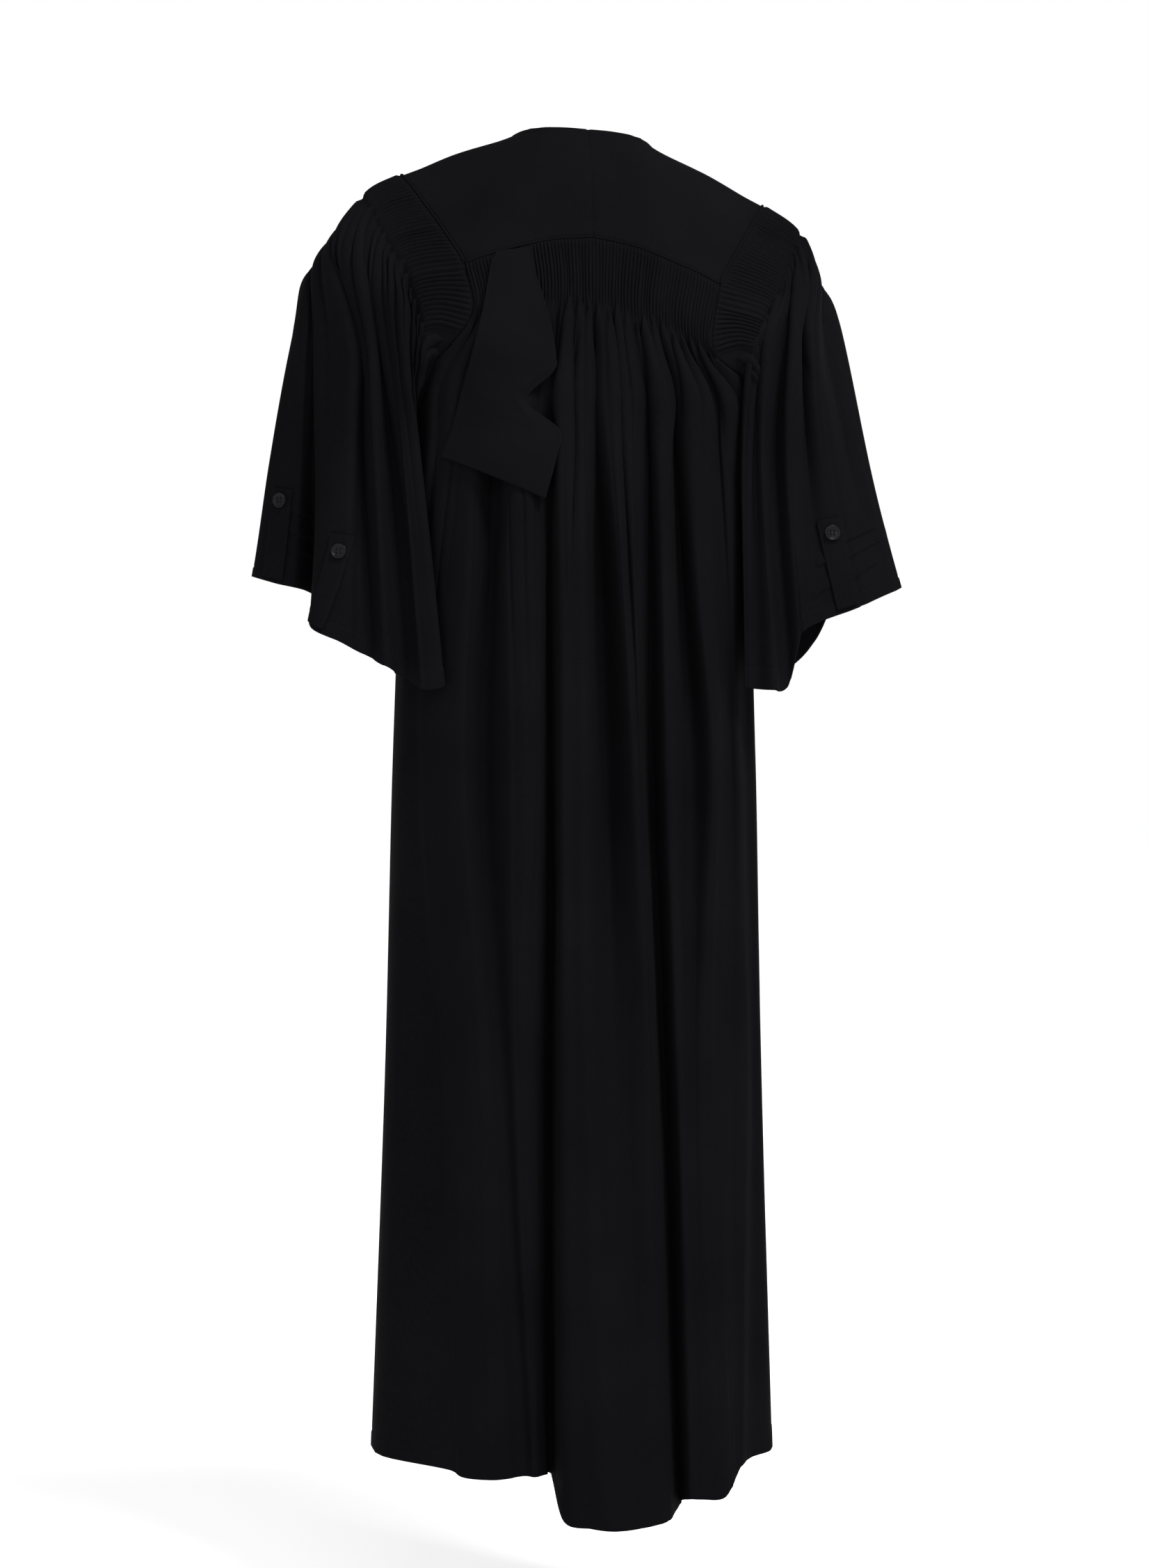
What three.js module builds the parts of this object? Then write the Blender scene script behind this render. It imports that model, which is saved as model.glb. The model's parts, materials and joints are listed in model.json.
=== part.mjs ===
// A barrister's stuff gown, seen from behind: a corded yoke in two halves, a back gathered into
// fine flutes under the yoke, open fronts, wide sleeves gathered round the armholes, a flap that
// hangs from the yoke seam, and two buttoned straps on each sleeve.
//
// Millimetres. +Z is up, +X is the wearer's left and -Y is the wearer's front. The origin is the
// middle of the shoulder line, where a wearer's shoulders carry the gown.
//
// Every piece of cloth is a closed wall: an outer surface, an inner surface one cloth thickness
// behind it, and rims between the two. Fold lines written in short tables run down the cloth, and
// a smooth surface is drawn through them.
import * as THREE from "three";

const CLOTH = 2;
const SEAM_GAP = 0.3;
const SLEEVE_GAP = 0.7;

const FLUTE_RISE = 1.5;
const BACK_FLUTES = 60;
const SLEEVE_FLUTES = 52;
const SLEEVE_FLUTES_FROM = 0.73;
const SLEEVE_FLUTES_TO = 0.3;

// The left shoulder is a little higher than the right one, and the skirt hangs level.
const LEAN = 0.07;
const LEAN_FULL_ABOVE = -130;
const LEAN_NONE_BELOW = -450;

const STRAP_WIDTH = 23;
const STRAP_CLEAR = 0.9;
const STRAP_CLOTH = 1.8;
const BUTTON_CLEAR = 0.7;
const BUTTON_RADIUS = 7.2;
const BUTTON_THICK = 2.6;
const BUTTON_SIDES = 20;
const BUTTON_HOLE_RADIUS = 0.9;
const BUTTON_HOLE_SIDES = 6;
const BUTTON_HOLE_REACH = 1.8;

const COLOURS = {
  cloth: { color: 0x121316, roughness: 0.85, metalness: 0 },
  button: { color: 0x08080a, roughness: 0.25, metalness: 0 },
};

// The body under the arms: half widths to the wearer's left and right, and how far the back and
// the fronts stand from the middle. The roundness is the power of the oval that joins them.
const ROUNDNESS = 2.3;
const BODY = [
  { z: -60, left: 300, right: 300, back: 114, front: 92 },
  { z: -92, left: 286, right: 286, back: 119, front: 100 },
  { z: -165, left: 246, right: 246, back: 121, front: 108 },
  { z: -232, left: 176, right: 172, back: 121, front: 112 },
  { z: -285, left: 173, right: 164, back: 121, front: 114 },
  { z: -414, left: 176, right: 163, back: 122, front: 116 },
  { z: -595, left: 183, right: 169, back: 124, front: 118 },
  { z: -880, left: 190, right: 174, back: 128, front: 121 },
  { z: -1290, left: 205, right: 186, back: 133, front: 125 },
];

// One half of the yoke, from the middle of the back over the shoulder to its front corner: the
// neck edge, a line halfway across and the outer edge, which joins the back, sleeve and front.
const YOKE = [
  { name: "centre back", neck: [0, 62, 18], middle: [0, 100, -30], outer: [0, 118, -92] },
  { name: "back", neck: [20, 59, 18.5], middle: [30, 99, -33], outer: [40, 119, -98] },
  { name: "blade", neck: [38, 50, 19], middle: [60, 92, -36], outer: [82, 117, -111] },
  { name: "beside the corner", neck: [46.4, 40.4, 19.3], middle: [75.6, 82.4, -36],
    outer: [104, 115.4, -118.8] },
  { name: "back corner", neck: [52, 34, 19.5], middle: [86, 76, -36], outer: [118.6, 112, -124] },
  { name: "above the corner", neck: [54, 30, 19.4], middle: [90, 69, -31.6],
    outer: [124.6, 102.8, -113.7] },
  { name: "back armhole", neck: [61, 16, 19], middle: [104, 44, -16], outer: [146, 70, -77] },
  { name: "shoulder", neck: [66, -4, 17], middle: [120, 0, -4], outer: [174, 5, -30] },
  { name: "front armhole", neck: [68, -32, 6], middle: [112, -38, -16], outer: [152, -60, -70] },
  { name: "collar bone", neck: [68, -60, -18], middle: [104, -68, -48], outer: [142, -84, -98] },
  { name: "front", neck: [66, -82, -48], middle: [99, -90, -84], outer: [135, -100, -120] },
];
const YOKE_ROWS_PER_STEP = 3;
const YOKE_COLUMNS = 6;

// Where the fluted band ends below the yoke, by the share of the way from left to right.
const BAND_HEM = [
  { share: 0, z: -170 },
  { share: 0.12, z: -163 },
  { share: 0.3, z: -151 },
  { share: 0.55, z: -152 },
  { share: 0.8, z: -166 },
  { share: 1, z: -187 },
];
const BAND_HALF_WIDTH = 112;

// Folds of the back from left to right, at five heights: how far across each lies, how far it
// stands out of the plain body, and where its hem is.
const FOLD_HEIGHTS = [-232, -414, -595, -880];
const BACK_FOLDS = [
  { name: "left side", x: [139.5, 168, 177, 183, 193], out: [0, 0, 0, 0, 0], hem: -1234 },
  { name: "left side valley", x: [135, 153, 161, 146, 137], out: [-5, -7, -6, -4, 0], hem: -1236 },
  { name: "ridge by sleeve", x: [118, 144, 154, 135, 121], out: [4, 5, 8, 6, 2], hem: -1242 },
  { name: "left ridge", x: [104, 116, 123, 105, 93], out: [8, 10, 12, 10, 6], hem: -1242 },
  { name: "left valley", x: [87, 93, 99, 83, 65], out: [-10, -16, -14, -6, -10], hem: -1241 },
  { name: "left blade ridge", x: [80, 81, 82, 72, 55], out: [7, 10, 10, 4, -6], hem: -1241 },
  { name: "second of the pair", x: [57, 53, 52, 54, 44], out: [7, 10, 10, -4, -20], hem: -1241 },
  { name: "deep dark valley", x: [37, 42, 40, 37, 37], out: [-10, -16, -24, -34, -36], hem: -1246 },
  { name: "left of central fold", x: [30, 32, 33, 33, 30], out: [8, 12, 14, 12, 14], hem: -1277 },
  { name: "central fold", x: [19, 20, 20, 16, 6], out: [-4, 14, 16, 20, 26], hem: -1282 },
  { name: "right of central fold", x: [12, 7, 6, 4, -16], out: [8, 12, 12, 18, 30], hem: -1284 },
  { name: "middle valley", x: [-1, -8, -13, -19, -36], out: [-12, -22, -20, 2, 24], hem: -1284 },
  { name: "right big ridge", x: [-12, -24, -34, -47, -56], out: [8, 12, 12, 12, 20], hem: -1282 },
  { name: "shallow valley", x: [-23, -33, -41, -53, -66], out: [-8, 2, 8, 8, 14], hem: -1281 },
  { name: "right twin ridge", x: [-32, -39, -46, -58, -72], out: [7, 6, 4, 2, 4], hem: -1279 },
  { name: "right dark valley", x: [-53, -54, -57, -69, -84], out: [-12, -18, -20, -24, -26], hem: -1272 },
  { name: "right inner ridge", x: [-62, -65, -69, -78, -88], out: [8, 12, 11, 8, 12], hem: -1262 },
  { name: "right inner valley", x: [-77, -86, -93, -89, -100], out: [-12, -20, -16, 4, 14], hem: -1263 },
  { name: "right outer ridge", x: [-92, -100, -114, -107, -121], out: [8, 11, 10, 8, 12], hem: -1264 },
  { name: "right outer valley", x: [-111, -121, -131, -131, -135], out: [-10, -6, -4, 0, 2], hem: -1250 },
  { name: "last ridge", x: [-124, -135, -142, -149, -143], out: [2, 4, 4, 2, 0], hem: -1240 },
  { name: "right side valley", x: [-134, -147, -153, -160, -154], out: [-4, -5, -6, -6, -12], hem: -1237 },
  { name: "right side", x: [-139.5, -157, -162, -168, -176], out: [0, 0, 0, 0, 0], hem: -1235 },
];
const BACK_ARMHOLE = [
  { z: -165, x: 112, y: 112 },
  { z: -215, x: 142, y: 84 },
  { z: -285, x: 170, y: 0 },
];
const SIDE_HEM = -1233;
const BACK_COLUMNS_PER_FOLD = 3;

// The fronts hang from the front corner of the yoke, open in the middle.
const FRONT_ARMHOLE = [
  { z: -175, x: 137, y: -95 },
  { z: -228, x: 151, y: -66 },
];
const FRONT_EDGE = [62, 60, 58, 57, 55, 52, 48];
const FRONT_FOLDS = [
  { name: "free edge", share: 0, out: 0 },
  { name: "first ridge", share: 0.2, out: 6 },
  { name: "first valley", share: 0.38, out: -5 },
  { name: "second ridge", share: 0.58, out: 7 },
  { name: "second valley", share: 0.76, out: -5 },
  { name: "side ridge", share: 0.94, out: 2 },
  { name: "side seam", share: 1, out: 0 },
];
const FRONT_HEM = -1230;

// How far the fluted band of a sleeve reaches from the armhole, by the share of the way round it,
// from the shoulder tip down the back and up the front.
const SLEEVE_BAND = [
  { share: 0, reach: [34, 0, -23] },
  { share: 0.12, reach: [44, -15, -18] },
  { share: 0.214, reach: [52, -22, -12] },
  { share: 0.275, reach: [38, -4, -6] },
  { share: 0.32, reach: [17, 3, -2] },
  { share: 0.38, reach: [6, 4, -3] },
  { share: 0.513, reach: [6, 0, -3] },
  { share: 0.62, reach: [6, -4, -3] },
  { share: 0.7, reach: [15, -8, -4] },
  { share: 0.79, reach: [46, -14, -10] },
  { share: 0.889, reach: [44, -6, -17] },
  { share: 1, reach: [34, 0, -23] },
];

// The full crown of a sleeve below its band: how far it stands out from the straight way down to
// the upper arm. The left crown is fuller than the right one.
const SLEEVE_CROWN = [
  { share: 0, push: [22, 6, 10] },
  { share: 0.05, push: [12, 10, 8] },
  { share: 0.14, push: [6, 10, 6] },
  { share: 0.225, push: [0, 4, 4] },
  { share: 0.36, push: [0, 0, 0] },
  { share: 0.7, push: [0, 0, 0] },
  { share: 0.78, push: [8, -6, 4] },
  { share: 0.845, push: [20, -2, 4] },
  { share: 0.875, push: [24, 4, 4] },
  { share: 0.92, push: [22, 4, 4] },
  { share: 1, push: [22, 6, 10] },
];
const CROWN_FULLNESS = { left: 1, right: 0.35 };
const CROWN_WAY = 0.45;

// Folds of the sleeves, in order round the arm from the shoulder tip down the back: where each
// starts round the armhole, and where it lies on the upper arm, at the elbow and at the hem.
const sleeveFold = (name, share, upper, elbow, hem) => ({ name, share, upper, elbow, hem });
const SLEEVE_FOLDS = {
  left: [
    sleeveFold("crown valley", 0, [213, 62, -190], [211, 50, -304], [205, 77, -482]),
    sleeveFold("first back ridge", 0.05, [206, 77, -196], [200, 75, -306], [191, 96, -491]),
    sleeveFold("back valley", 0.09, [197, 71, -198], [187, 56, -304], [173, 83, -501]),
    sleeveFold("second back ridge", 0.14, [185, 84, -206], [175, 77, -306], [159, 105, -512]),
    sleeveFold("inner edge", 0.225, [168, 86, -222], [160, 74, -305], [139, 102, -508]),
    sleeveFold("inner turn", 0.36, [169, 64, -262], [176, 50, -335], [183, 62, -490]),
    sleeveFold("underarm", 0.513, [183, 2, -312], [187, 0, -360], [194, 5, -470]),
    sleeveFold("front turn", 0.62, [172, -66, -270], [181, -50, -330], [190, -52, -460]),
    sleeveFold("front inner edge", 0.7, [162, -104, -215], [164, -96, -305], [170, -108, -455]),
    sleeveFold("front valley", 0.745, [186, -108, -200], [192, -106, -303], [200, -122, -440]),
    sleeveFold("front ridge", 0.78, [212, -104, -188], [226, -112, -300], [238, -132, -422]),
    sleeveFold("front outer valley", 0.815, [236, -78, -176], [256, -84, -298], [268, -104, -408]),
    sleeveFold("front outer ridge", 0.845, [256, -56, -166], [282, -66, -296], [298, -90, -402]),
    sleeveFold("outer edge", 0.875, [273, -20, -160], [300, -18, -296], [316, -32, -400]),
    sleeveFold("outer slope", 0.905, [265, 12, -168], [272, 11, -301], [277, -1, -412]),
    sleeveFold("deep fold", 0.925, [255, 8, -171], [258, 2, -300], [253, -27, -414]),
    sleeveFold("plateau edge", 0.945, [251, 33, -174], [255, 40, -303], [265, 62, -450]),
    sleeveFold("plateau", 0.972, [226, 66, -185], [226, 66, -305], [233, 85, -468]),
  ],
  right: [
    sleeveFold("crown ridge", 0, [213, 80, -178], [225, 72, -300], [251, 74, -435]),
    sleeveFold("crown valley", 0.035, [202, 72, -181], [207, 66, -303], [216, 84, -448]),
    sleeveFold("first back ridge", 0.075, [191, 91, -186], [188, 92, -301], [198, 96, -461]),
    sleeveFold("back valley", 0.105, [180, 80, -189], [176, 77, -305], [187, 88, -508]),
    sleeveFold("second back ridge", 0.15, [166, 104, -195], [161, 100, -303], [171, 112, -512]),
    sleeveFold("third back valley", 0.19, [157, 94, -200], [153, 86, -305], [156, 98, -511]),
    sleeveFold("inner edge", 0.24, [148, 101, -210], [144, 90, -306], [145, 98, -508]),
    sleeveFold("inner turn", 0.36, [162, 64, -262], [167, 48, -335], [172, 58, -490]),
    sleeveFold("underarm", 0.513, [175, 2, -312], [176, 0, -360], [184, 5, -470]),
    sleeveFold("front turn", 0.62, [166, -66, -270], [171, -50, -330], [180, -52, -460]),
    sleeveFold("front inner edge", 0.7, [158, -104, -215], [156, -96, -305], [166, -108, -480]),
    sleeveFold("front valley", 0.75, [178, -104, -200], [182, -104, -303], [212, -120, -486]),
    sleeveFold("front ridge", 0.79, [204, -92, -186], [214, -98, -300], [246, -118, -456]),
    sleeveFold("front outer valley", 0.83, [226, -62, -172], [246, -66, -297], [266, -84, -412]),
    sleeveFold("outer edge", 0.875, [246, -24, -158], [276, -34, -295], [300, -44, -408]),
    sleeveFold("outer ridge", 0.92, [246, 6, -159], [281, 2, -296], [313, 2, -409]),
    sleeveFold("outer slope", 0.96, [226, 40, -169], [250, 48, -300], [282, 42, -422]),
  ],
};
const SLEEVE_COLUMNS_PER_FOLD = 3;

// Levels at which the walls have a row of places, counted in levels of their sheets.
const UNDERARM_LEVEL = 3;
const BAND_LEVELS = [0, 0.5, 1];
const BACK_LEVELS = [1.4, 2, 3, 3.5, 4, 4.5, 5, 5.5, 6, 6.5, 7];
const ARMHOLE_LEVELS = [0, 0.5, 1, 1.4, 2, 3];
const FRONT_LEVELS = [...ARMHOLE_LEVELS, 3.5, 4, 4.5, 5, 5.5, 6, 6.5, 7];
const FRONT_COLUMNS_PER_FOLD = 2;
const SLEEVE_LEVELS = [1.4, 2, 2.5, 3, 3.5, 4, 4.5, 5];
const PLAIN_BAND_COLUMNS = 24;
const ACROSS_STEP = 0.004;
const DOWN_STEP = 0.02;

// Straps on the sleeves: the share of the way round the arm at their tops and at the hem, and the
// level of the sleeve at which they start. All four run to the hem.
const STRAPS = [
  { name: "left_outer", side: "left", share: 0.892, hemShare: 0.891, top: 4.16 },
  { name: "left_inner", side: "left", share: 0.9705, hemShare: 0.9525, top: 4.4 },
  { name: "right_outer", side: "right", share: 1.008, hemShare: 1.006, top: 4.36 },
  { name: "right_front", side: "right", share: 0.805, hemShare: 0.8, top: 4.3 },
];
const STRAP_HEM = 4.97;
const STRAP_ROWS = 7;
const STRAP_COLUMNS = 5;
const BUTTON_BELOW_TOP = 0.1;

// The flap that hangs from the yoke seam on the wearer's left: its two edges at each height, how
// far it stands off the plain back at them, and how far halfway between.
const FLAP = [
  { name: "seam", left: [90, -107], right: [59, -103], out: [5, 5], middle: 5 },
  { name: "below the seam", left: [96, -121], right: [56, -121], out: [6.5, 6], middle: 6.5 },
  { name: "band", left: [103, -160], right: [42, -168], out: [7, 8], middle: 8 },
  { name: "upper peak", left: [111, -193], right: [36, -204], out: [10, 12], middle: 14 },
  { name: "under the peak", left: [115, -208], right: [38, -219], out: [11, 13], middle: 15 },
  { name: "notch", left: [122, -234], right: [62, -246], out: [12, 13], middle: 17 },
  { name: "lower lobe", left: [131, -268], right: [32, -274], out: [12, 14], middle: 15 },
  { name: "lower corner", left: [136, -282], right: [35, -297], out: [13, 14], middle: 16 },
  { name: "hem", left: [141, -295], right: [46, -337], out: [14, 14], middle: 16 },
];
const FLAP_LINES = 7;
const FLAP_COLUMNS_PER_LINE = 1;
const FLAP_ROWS_PER_STEP = 2;

const vector = (place) => new THREE.Vector3(...place);

function between(a, b, share) {
  return a + (b - a) * share;
}

// Reads a table of rows that are sorted by one column, straight between its rows.
function readTable(table, sortedBy, value, read) {
  const falls = table[0][sortedBy] > table[table.length - 1][sortedBy];
  const before = (row) => (falls ? row[sortedBy] >= value : row[sortedBy] <= value);
  let index = 0;
  while (index < table.length - 2 && before(table[index + 1])) {
    index += 1;
  }
  const [first, second] = [table[index], table[index + 1]];
  const share = THREE.MathUtils.clamp(
    (value - first[sortedBy]) / (second[sortedBy] - first[sortedBy]), 0, 1);
  return between(read(first), read(second), share);
}

function sideOf(x) {
  return x >= 0 ? "left" : "right";
}

// How far the plain body stands behind the middle at one place.
function bodyDepth(x, z, face) {
  const width = readTable(BODY, "z", z, (row) => row[sideOf(x)]);
  const depth = readTable(BODY, "z", z, (row) => row[face]);
  const across = Math.min(1, Math.abs(x) / width);
  return depth * (1 - across ** ROUNDNESS) ** (1 / ROUNDNESS);
}

function lean(point) {
  const share = THREE.MathUtils.clamp(
    (point.z - LEAN_NONE_BELOW) / (LEAN_FULL_ABOVE - LEAN_NONE_BELOW), 0, 1);
  return new THREE.Vector3(point.x, point.y, point.z + LEAN * share * point.x);
}

// The place that leans to where the tables say that the cloth hangs.
function beforeLean(point) {
  let z = point.z;
  for (let step = 0; step < 4; step += 1) {
    z += point.z - lean(new THREE.Vector3(point.x, point.y, z)).z;
  }
  return new THREE.Vector3(point.x, point.y, z);
}

// A smooth curve through four neighbouring places.
function smooth(before, start, end, after, share) {
  const result = new THREE.Vector3();
  for (const axis of ["x", "y", "z"]) {
    const [a, b, c, d] = [before[axis], start[axis], end[axis], after[axis]];
    result[axis] = b + 0.5 * share * (c - a
      + share * (2 * a - 5 * b + 4 * c - d + share * (3 * (b - c) + d - a)));
  }
  return result;
}

// A smooth curve through a list of places, at a position counted in places.
function curveAt(places, position, closed) {
  const count = places.length;
  const last = closed ? count : count - 1;
  const index = Math.min(Math.floor(position), last - 1);
  const place = (step) => {
    if (closed) {
      return places[(index + step + count) % count];
    }
    if (index + step < 0) {
      return places[0].clone().multiplyScalar(2).sub(places[1]);
    }
    if (index + step > count - 1) {
      return places[count - 1].clone().multiplyScalar(2).sub(places[count - 2]);
    }
    return places[index + step];
  };
  return smooth(place(-1), place(0), place(1), place(2), position - index);
}

// A sheet of cloth drawn through fold lines: each has a share of the way across, and one place at
// each level down the cloth. The sheet gives its place and its outward direction anywhere.
class Sheet {
  constructor(lines, { closed = false, topEdge = null, sideSeams = [], sideSeamY = 0 } = {}) {
    this.lines = lines;
    this.closed = closed;
    this.topEdge = topEdge;
    this.sideSeams = sideSeams;
    this.sideSeamY = sideSeamY;
    this.levels = lines[0].places.length - 1;
  }

  linePosition(across) {
    const shares = this.lines.map((line) => line.share);
    if (this.closed) {
      shares.push(shares[0] + 1);
    }
    const value = this.closed ? across - Math.floor(across) : THREE.MathUtils.clamp(across, 0, 1);
    let index = 0;
    while (index < shares.length - 2 && shares[index + 1] <= value) {
      index += 1;
    }
    return index + (value - shares[index]) / (shares[index + 1] - shares[index]);
  }

  place(across, down) {
    const places = this.lines.map((line) => curveAt(line.places, down, false));
    const place = curveAt(places, this.linePosition(across), this.closed);
    return this.onSideSeam(across, down) ? place.setY(this.sideSeamY) : place;
  }

  onSideSeam(across, down) {
    return down >= UNDERARM_LEVEL && this.sideSeams.some((seam) => Math.abs(across - seam) < 1e-6);
  }

  // The directions across the cloth, down it and out of it.
  directions(across, down) {
    const start = this.closed ? across - ACROSS_STEP : Math.max(0, across - ACROSS_STEP);
    const end = this.closed ? across + ACROSS_STEP : Math.min(1, across + ACROSS_STEP);
    const top = Math.max(0, down - DOWN_STEP);
    const bottom = Math.min(this.levels, down + DOWN_STEP);
    const along = this.place(end, down).sub(this.place(start, down)).normalize();
    const fall = this.place(across, bottom).sub(this.place(across, top)).normalize();
    const outward = fall.clone().cross(along).normalize();
    if (this.onSideSeam(across, down)) {
      outward.setY(0).normalize();
    }
    return { along, fall, outward };
  }

  raised(across, down, rise) {
    const { outward } = this.directions(across, down);
    if (this.topEdge && down === 0) {
      const { place, away } = this.topEdge(across);
      const over = outward.dot(away);
      if (over > 0) {
        outward.addScaledVector(away, -over).normalize();
      }
      return place.addScaledVector(outward, rise);
    }
    return this.place(across, down).addScaledVector(outward, rise);
  }

  // Shares across the sheet: the fold lines and an even number of steps between each two.
  columns(perFold) {
    const shares = this.lines.map((line) => line.share);
    if (this.closed) {
      shares.push(shares[0] + 1);
    }
    const columns = [];
    for (let index = 0; index < shares.length - 1; index += 1) {
      for (let step = 0; step < perFold; step += 1) {
        columns.push(between(shares[index], shares[index + 1], step / perFold));
      }
    }
    return this.closed ? columns : [...columns, 1];
  }
}

// Collects places and triangles into one closed body.
class Body {
  constructor() {
    this.positions = [];
    this.triangles = [];
  }

  addRow(shares, places, closed) {
    const first = this.positions.length / 3;
    for (const place of places) {
      this.positions.push(...lean(place).toArray());
    }
    const row = { shares: [...shares], ids: places.map((_, index) => first + index) };
    if (closed) {
      row.shares.push(row.shares[0] + 1);
      row.ids.push(first);
    }
    return row;
  }

  // Joins two rows with triangles, whatever number of places each has.
  join(above, below) {
    let [i, j] = [0, 0];
    while (i < above.ids.length - 1 || j < below.ids.length - 1) {
      const aboveNext = i < above.ids.length - 1
        ? above.shares[i] + above.shares[i + 1] : Infinity;
      const belowNext = j < below.ids.length - 1
        ? below.shares[j] + below.shares[j + 1] : Infinity;
      if (aboveNext <= belowNext) {
        this.triangles.push(above.ids[i], below.ids[j], above.ids[i + 1]);
        i += 1;
      } else {
        this.triangles.push(above.ids[i], below.ids[j], below.ids[j + 1]);
        j += 1;
      }
    }
  }

  joinAll(rows) {
    for (let index = 0; index < rows.length - 1; index += 1) {
      this.join(rows[index], rows[index + 1]);
    }
  }

  geometry(mirrored) {
    const geometry = new THREE.BufferGeometry();
    geometry.setAttribute("position", new THREE.Float32BufferAttribute(this.positions, 3));
    geometry.setIndex(mirrored ? [...this.triangles].reverse() : this.triangles);
    return geometry;
  }
}

// The ids down one side of the rows, as a row of its own.
function border(rows, end) {
  return {
    shares: rows.map((row) => row.level),
    ids: rows.map((row) => row.ids[end < 0 ? row.ids.length - 1 : 0]),
  };
}

// A closed wall from rows of { level, shares, places }, some outer and some inner. A piece of the
// right side is drawn on the left, mirrored and turned the right way out.
function wall(outerRows, innerRows, { closed = false, side = "left" } = {}) {
  const body = new Body();
  const add = (rows) => rows.map((row) => {
    const places = row.places.map((place) => onSide(side, place));
    return { level: row.level, ...body.addRow(row.shares, places, closed) };
  });
  const outer = add(outerRows);
  const inner = add(innerRows);
  body.joinAll(outer);
  body.joinAll([...inner].reverse());
  body.join(inner[0], outer[0]);
  body.join(outer[outer.length - 1], inner[inner.length - 1]);
  if (!closed) {
    body.join(border(outer, 0), border(inner, 0));
    body.join(border(inner, -1), border(outer, -1));
  }
  return body.geometry(side === "right");
}

function rowOf(sheet, level, shares, rise) {
  return {
    level,
    shares,
    places: shares.map((share) => sheet.raised(share, level, rise(share))),
  };
}

// A closed wall whose outer and inner places match, for a plain piece.
function plainWall(sheet, levels, shares) {
  const outer = levels.map((level) => rowOf(sheet, level, shares, () => 0));
  const inner = levels.map((level) => rowOf(sheet, level, shares, () => -CLOTH));
  return wall(outer, inner, { closed: sheet.closed });
}

// Steps between each two whole levels.
function levelsOf(first, last, perStep) {
  const count = Math.round((last - first) * perStep);
  return Array.from({ length: count + 1 }, (_, index) => first + index / perStep);
}

// An edge that another piece is sewn to, read by the share of its length. Each of its points has a
// place and the direction in which its own cloth would go on past the edge.
class Edge {
  constructor(points) {
    this.points = points;
    this.lengths = [0];
    for (let index = 1; index < points.length; index += 1) {
      const step = points[index].place.distanceTo(points[index - 1].place);
      this.lengths.push(this.lengths[index - 1] + step);
    }
  }

  at(share) {
    const wanted = share * this.lengths[this.lengths.length - 1];
    let index = 0;
    while (index < this.points.length - 2 && this.lengths[index + 1] < wanted) {
      index += 1;
    }
    const length = this.lengths[index + 1] - this.lengths[index];
    const part = THREE.MathUtils.clamp((wanted - this.lengths[index]) / length, 0, 1);
    const [start, end] = [this.points[index], this.points[index + 1]];
    return {
      place: start.place.clone().lerp(end.place, part),
      away: start.away.clone().lerp(end.away, part).normalize(),
    };
  }
}

// Moves the nearest of the shares to each corner of an edge, so that a piece follows it closely.
function snapToCorners(shares, edge) {
  const snapped = [...shares];
  for (const length of edge.lengths.slice(1, -1)) {
    const corner = length / edge.lengths[edge.lengths.length - 1];
    const wanted = corner < shares[0] ? corner + 1 : corner;
    const distances = shares.map((share) => Math.abs(share - wanted));
    snapped[distances.indexOf(Math.min(...distances))] = wanted;
  }
  return snapped;
}

function mirror(point) {
  return new THREE.Vector3(-point.x, point.y, point.z);
}

function onSide(side, point) {
  return side === "left" ? point : mirror(point);
}

function mirrorEdge({ place, away }) {
  return { place: mirror(place), away: mirror(away) };
}

// A point on the lower edge of a sheet, or on the edge where it starts or ends across.
function lowerEdgePoint(sheet, across) {
  const { along, outward } = sheet.directions(across, sheet.levels);
  return { place: sheet.place(across, sheet.levels), away: along.cross(outward).normalize() };
}

function sideEdgePoint(sheet, across, down) {
  const { fall, outward } = sheet.directions(across, down);
  const away = fall.cross(outward).multiplyScalar(across === 0 ? 1 : -1).normalize();
  return { place: sheet.raised(across, down, 0), away };
}

// Where the next piece starts: a seam gap past the edge.
function pastSeam({ place, away }, gap = SEAM_GAP, direction = away) {
  return { place: place.clone().addScaledVector(direction, gap), away };
}

// The yoke is drawn for the wearer's left. Its levels run from the neck to the outer edge, and its
// lines run from the front corner over the shoulder to the middle of the back.
function yokeSheet() {
  const lines = [...YOKE].reverse().map((row, index) => ({
    share: index / (YOKE.length - 1),
    places: [row.neck, row.middle, row.outer].map(vector),
  }));
  return new Sheet(lines);
}

const yoke = yokeSheet();
const yokeShares = levelsOf(0, YOKE.length - 1, YOKE_ROWS_PER_STEP).map((at) => at / (YOKE.length - 1));
const yokeOuter = yokeShares.map((share) => lowerEdgePoint(yoke, share));
const shareOfYokeLine = (name) => 1 - YOKE.findIndex((row) => row.name === name) / (YOKE.length - 1);
const CORNER_SHARE = shareOfYokeLine("back corner");
const TIP_SHARE = shareOfYokeLine("shoulder");

function yokeHalf(side) {
  const levels = levelsOf(0, yoke.levels, YOKE_COLUMNS / yoke.levels);
  const rows = (rise) => levels.map((level) => ({
    level,
    shares: yokeShares,
    places: yokeShares.map((share) => {
      const place = yoke.raised(share, level, rise);
      place.x = share === 1 ? SEAM_GAP / 2 : Math.max(place.x, SEAM_GAP / 2);
      return place;
    }),
  }));
  return wall(rows(0), rows(-CLOTH), { side });
}

// The lower edge of both yoke halves, from the left back corner to the right one.
function yokeBackEdge() {
  const left = yokeOuter.filter((_, index) => yokeShares[index] >= CORNER_SHARE - 1e-6);
  return new Edge([...left, ...[...left].reverse().slice(1).map(mirrorEdge)]);
}

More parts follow.
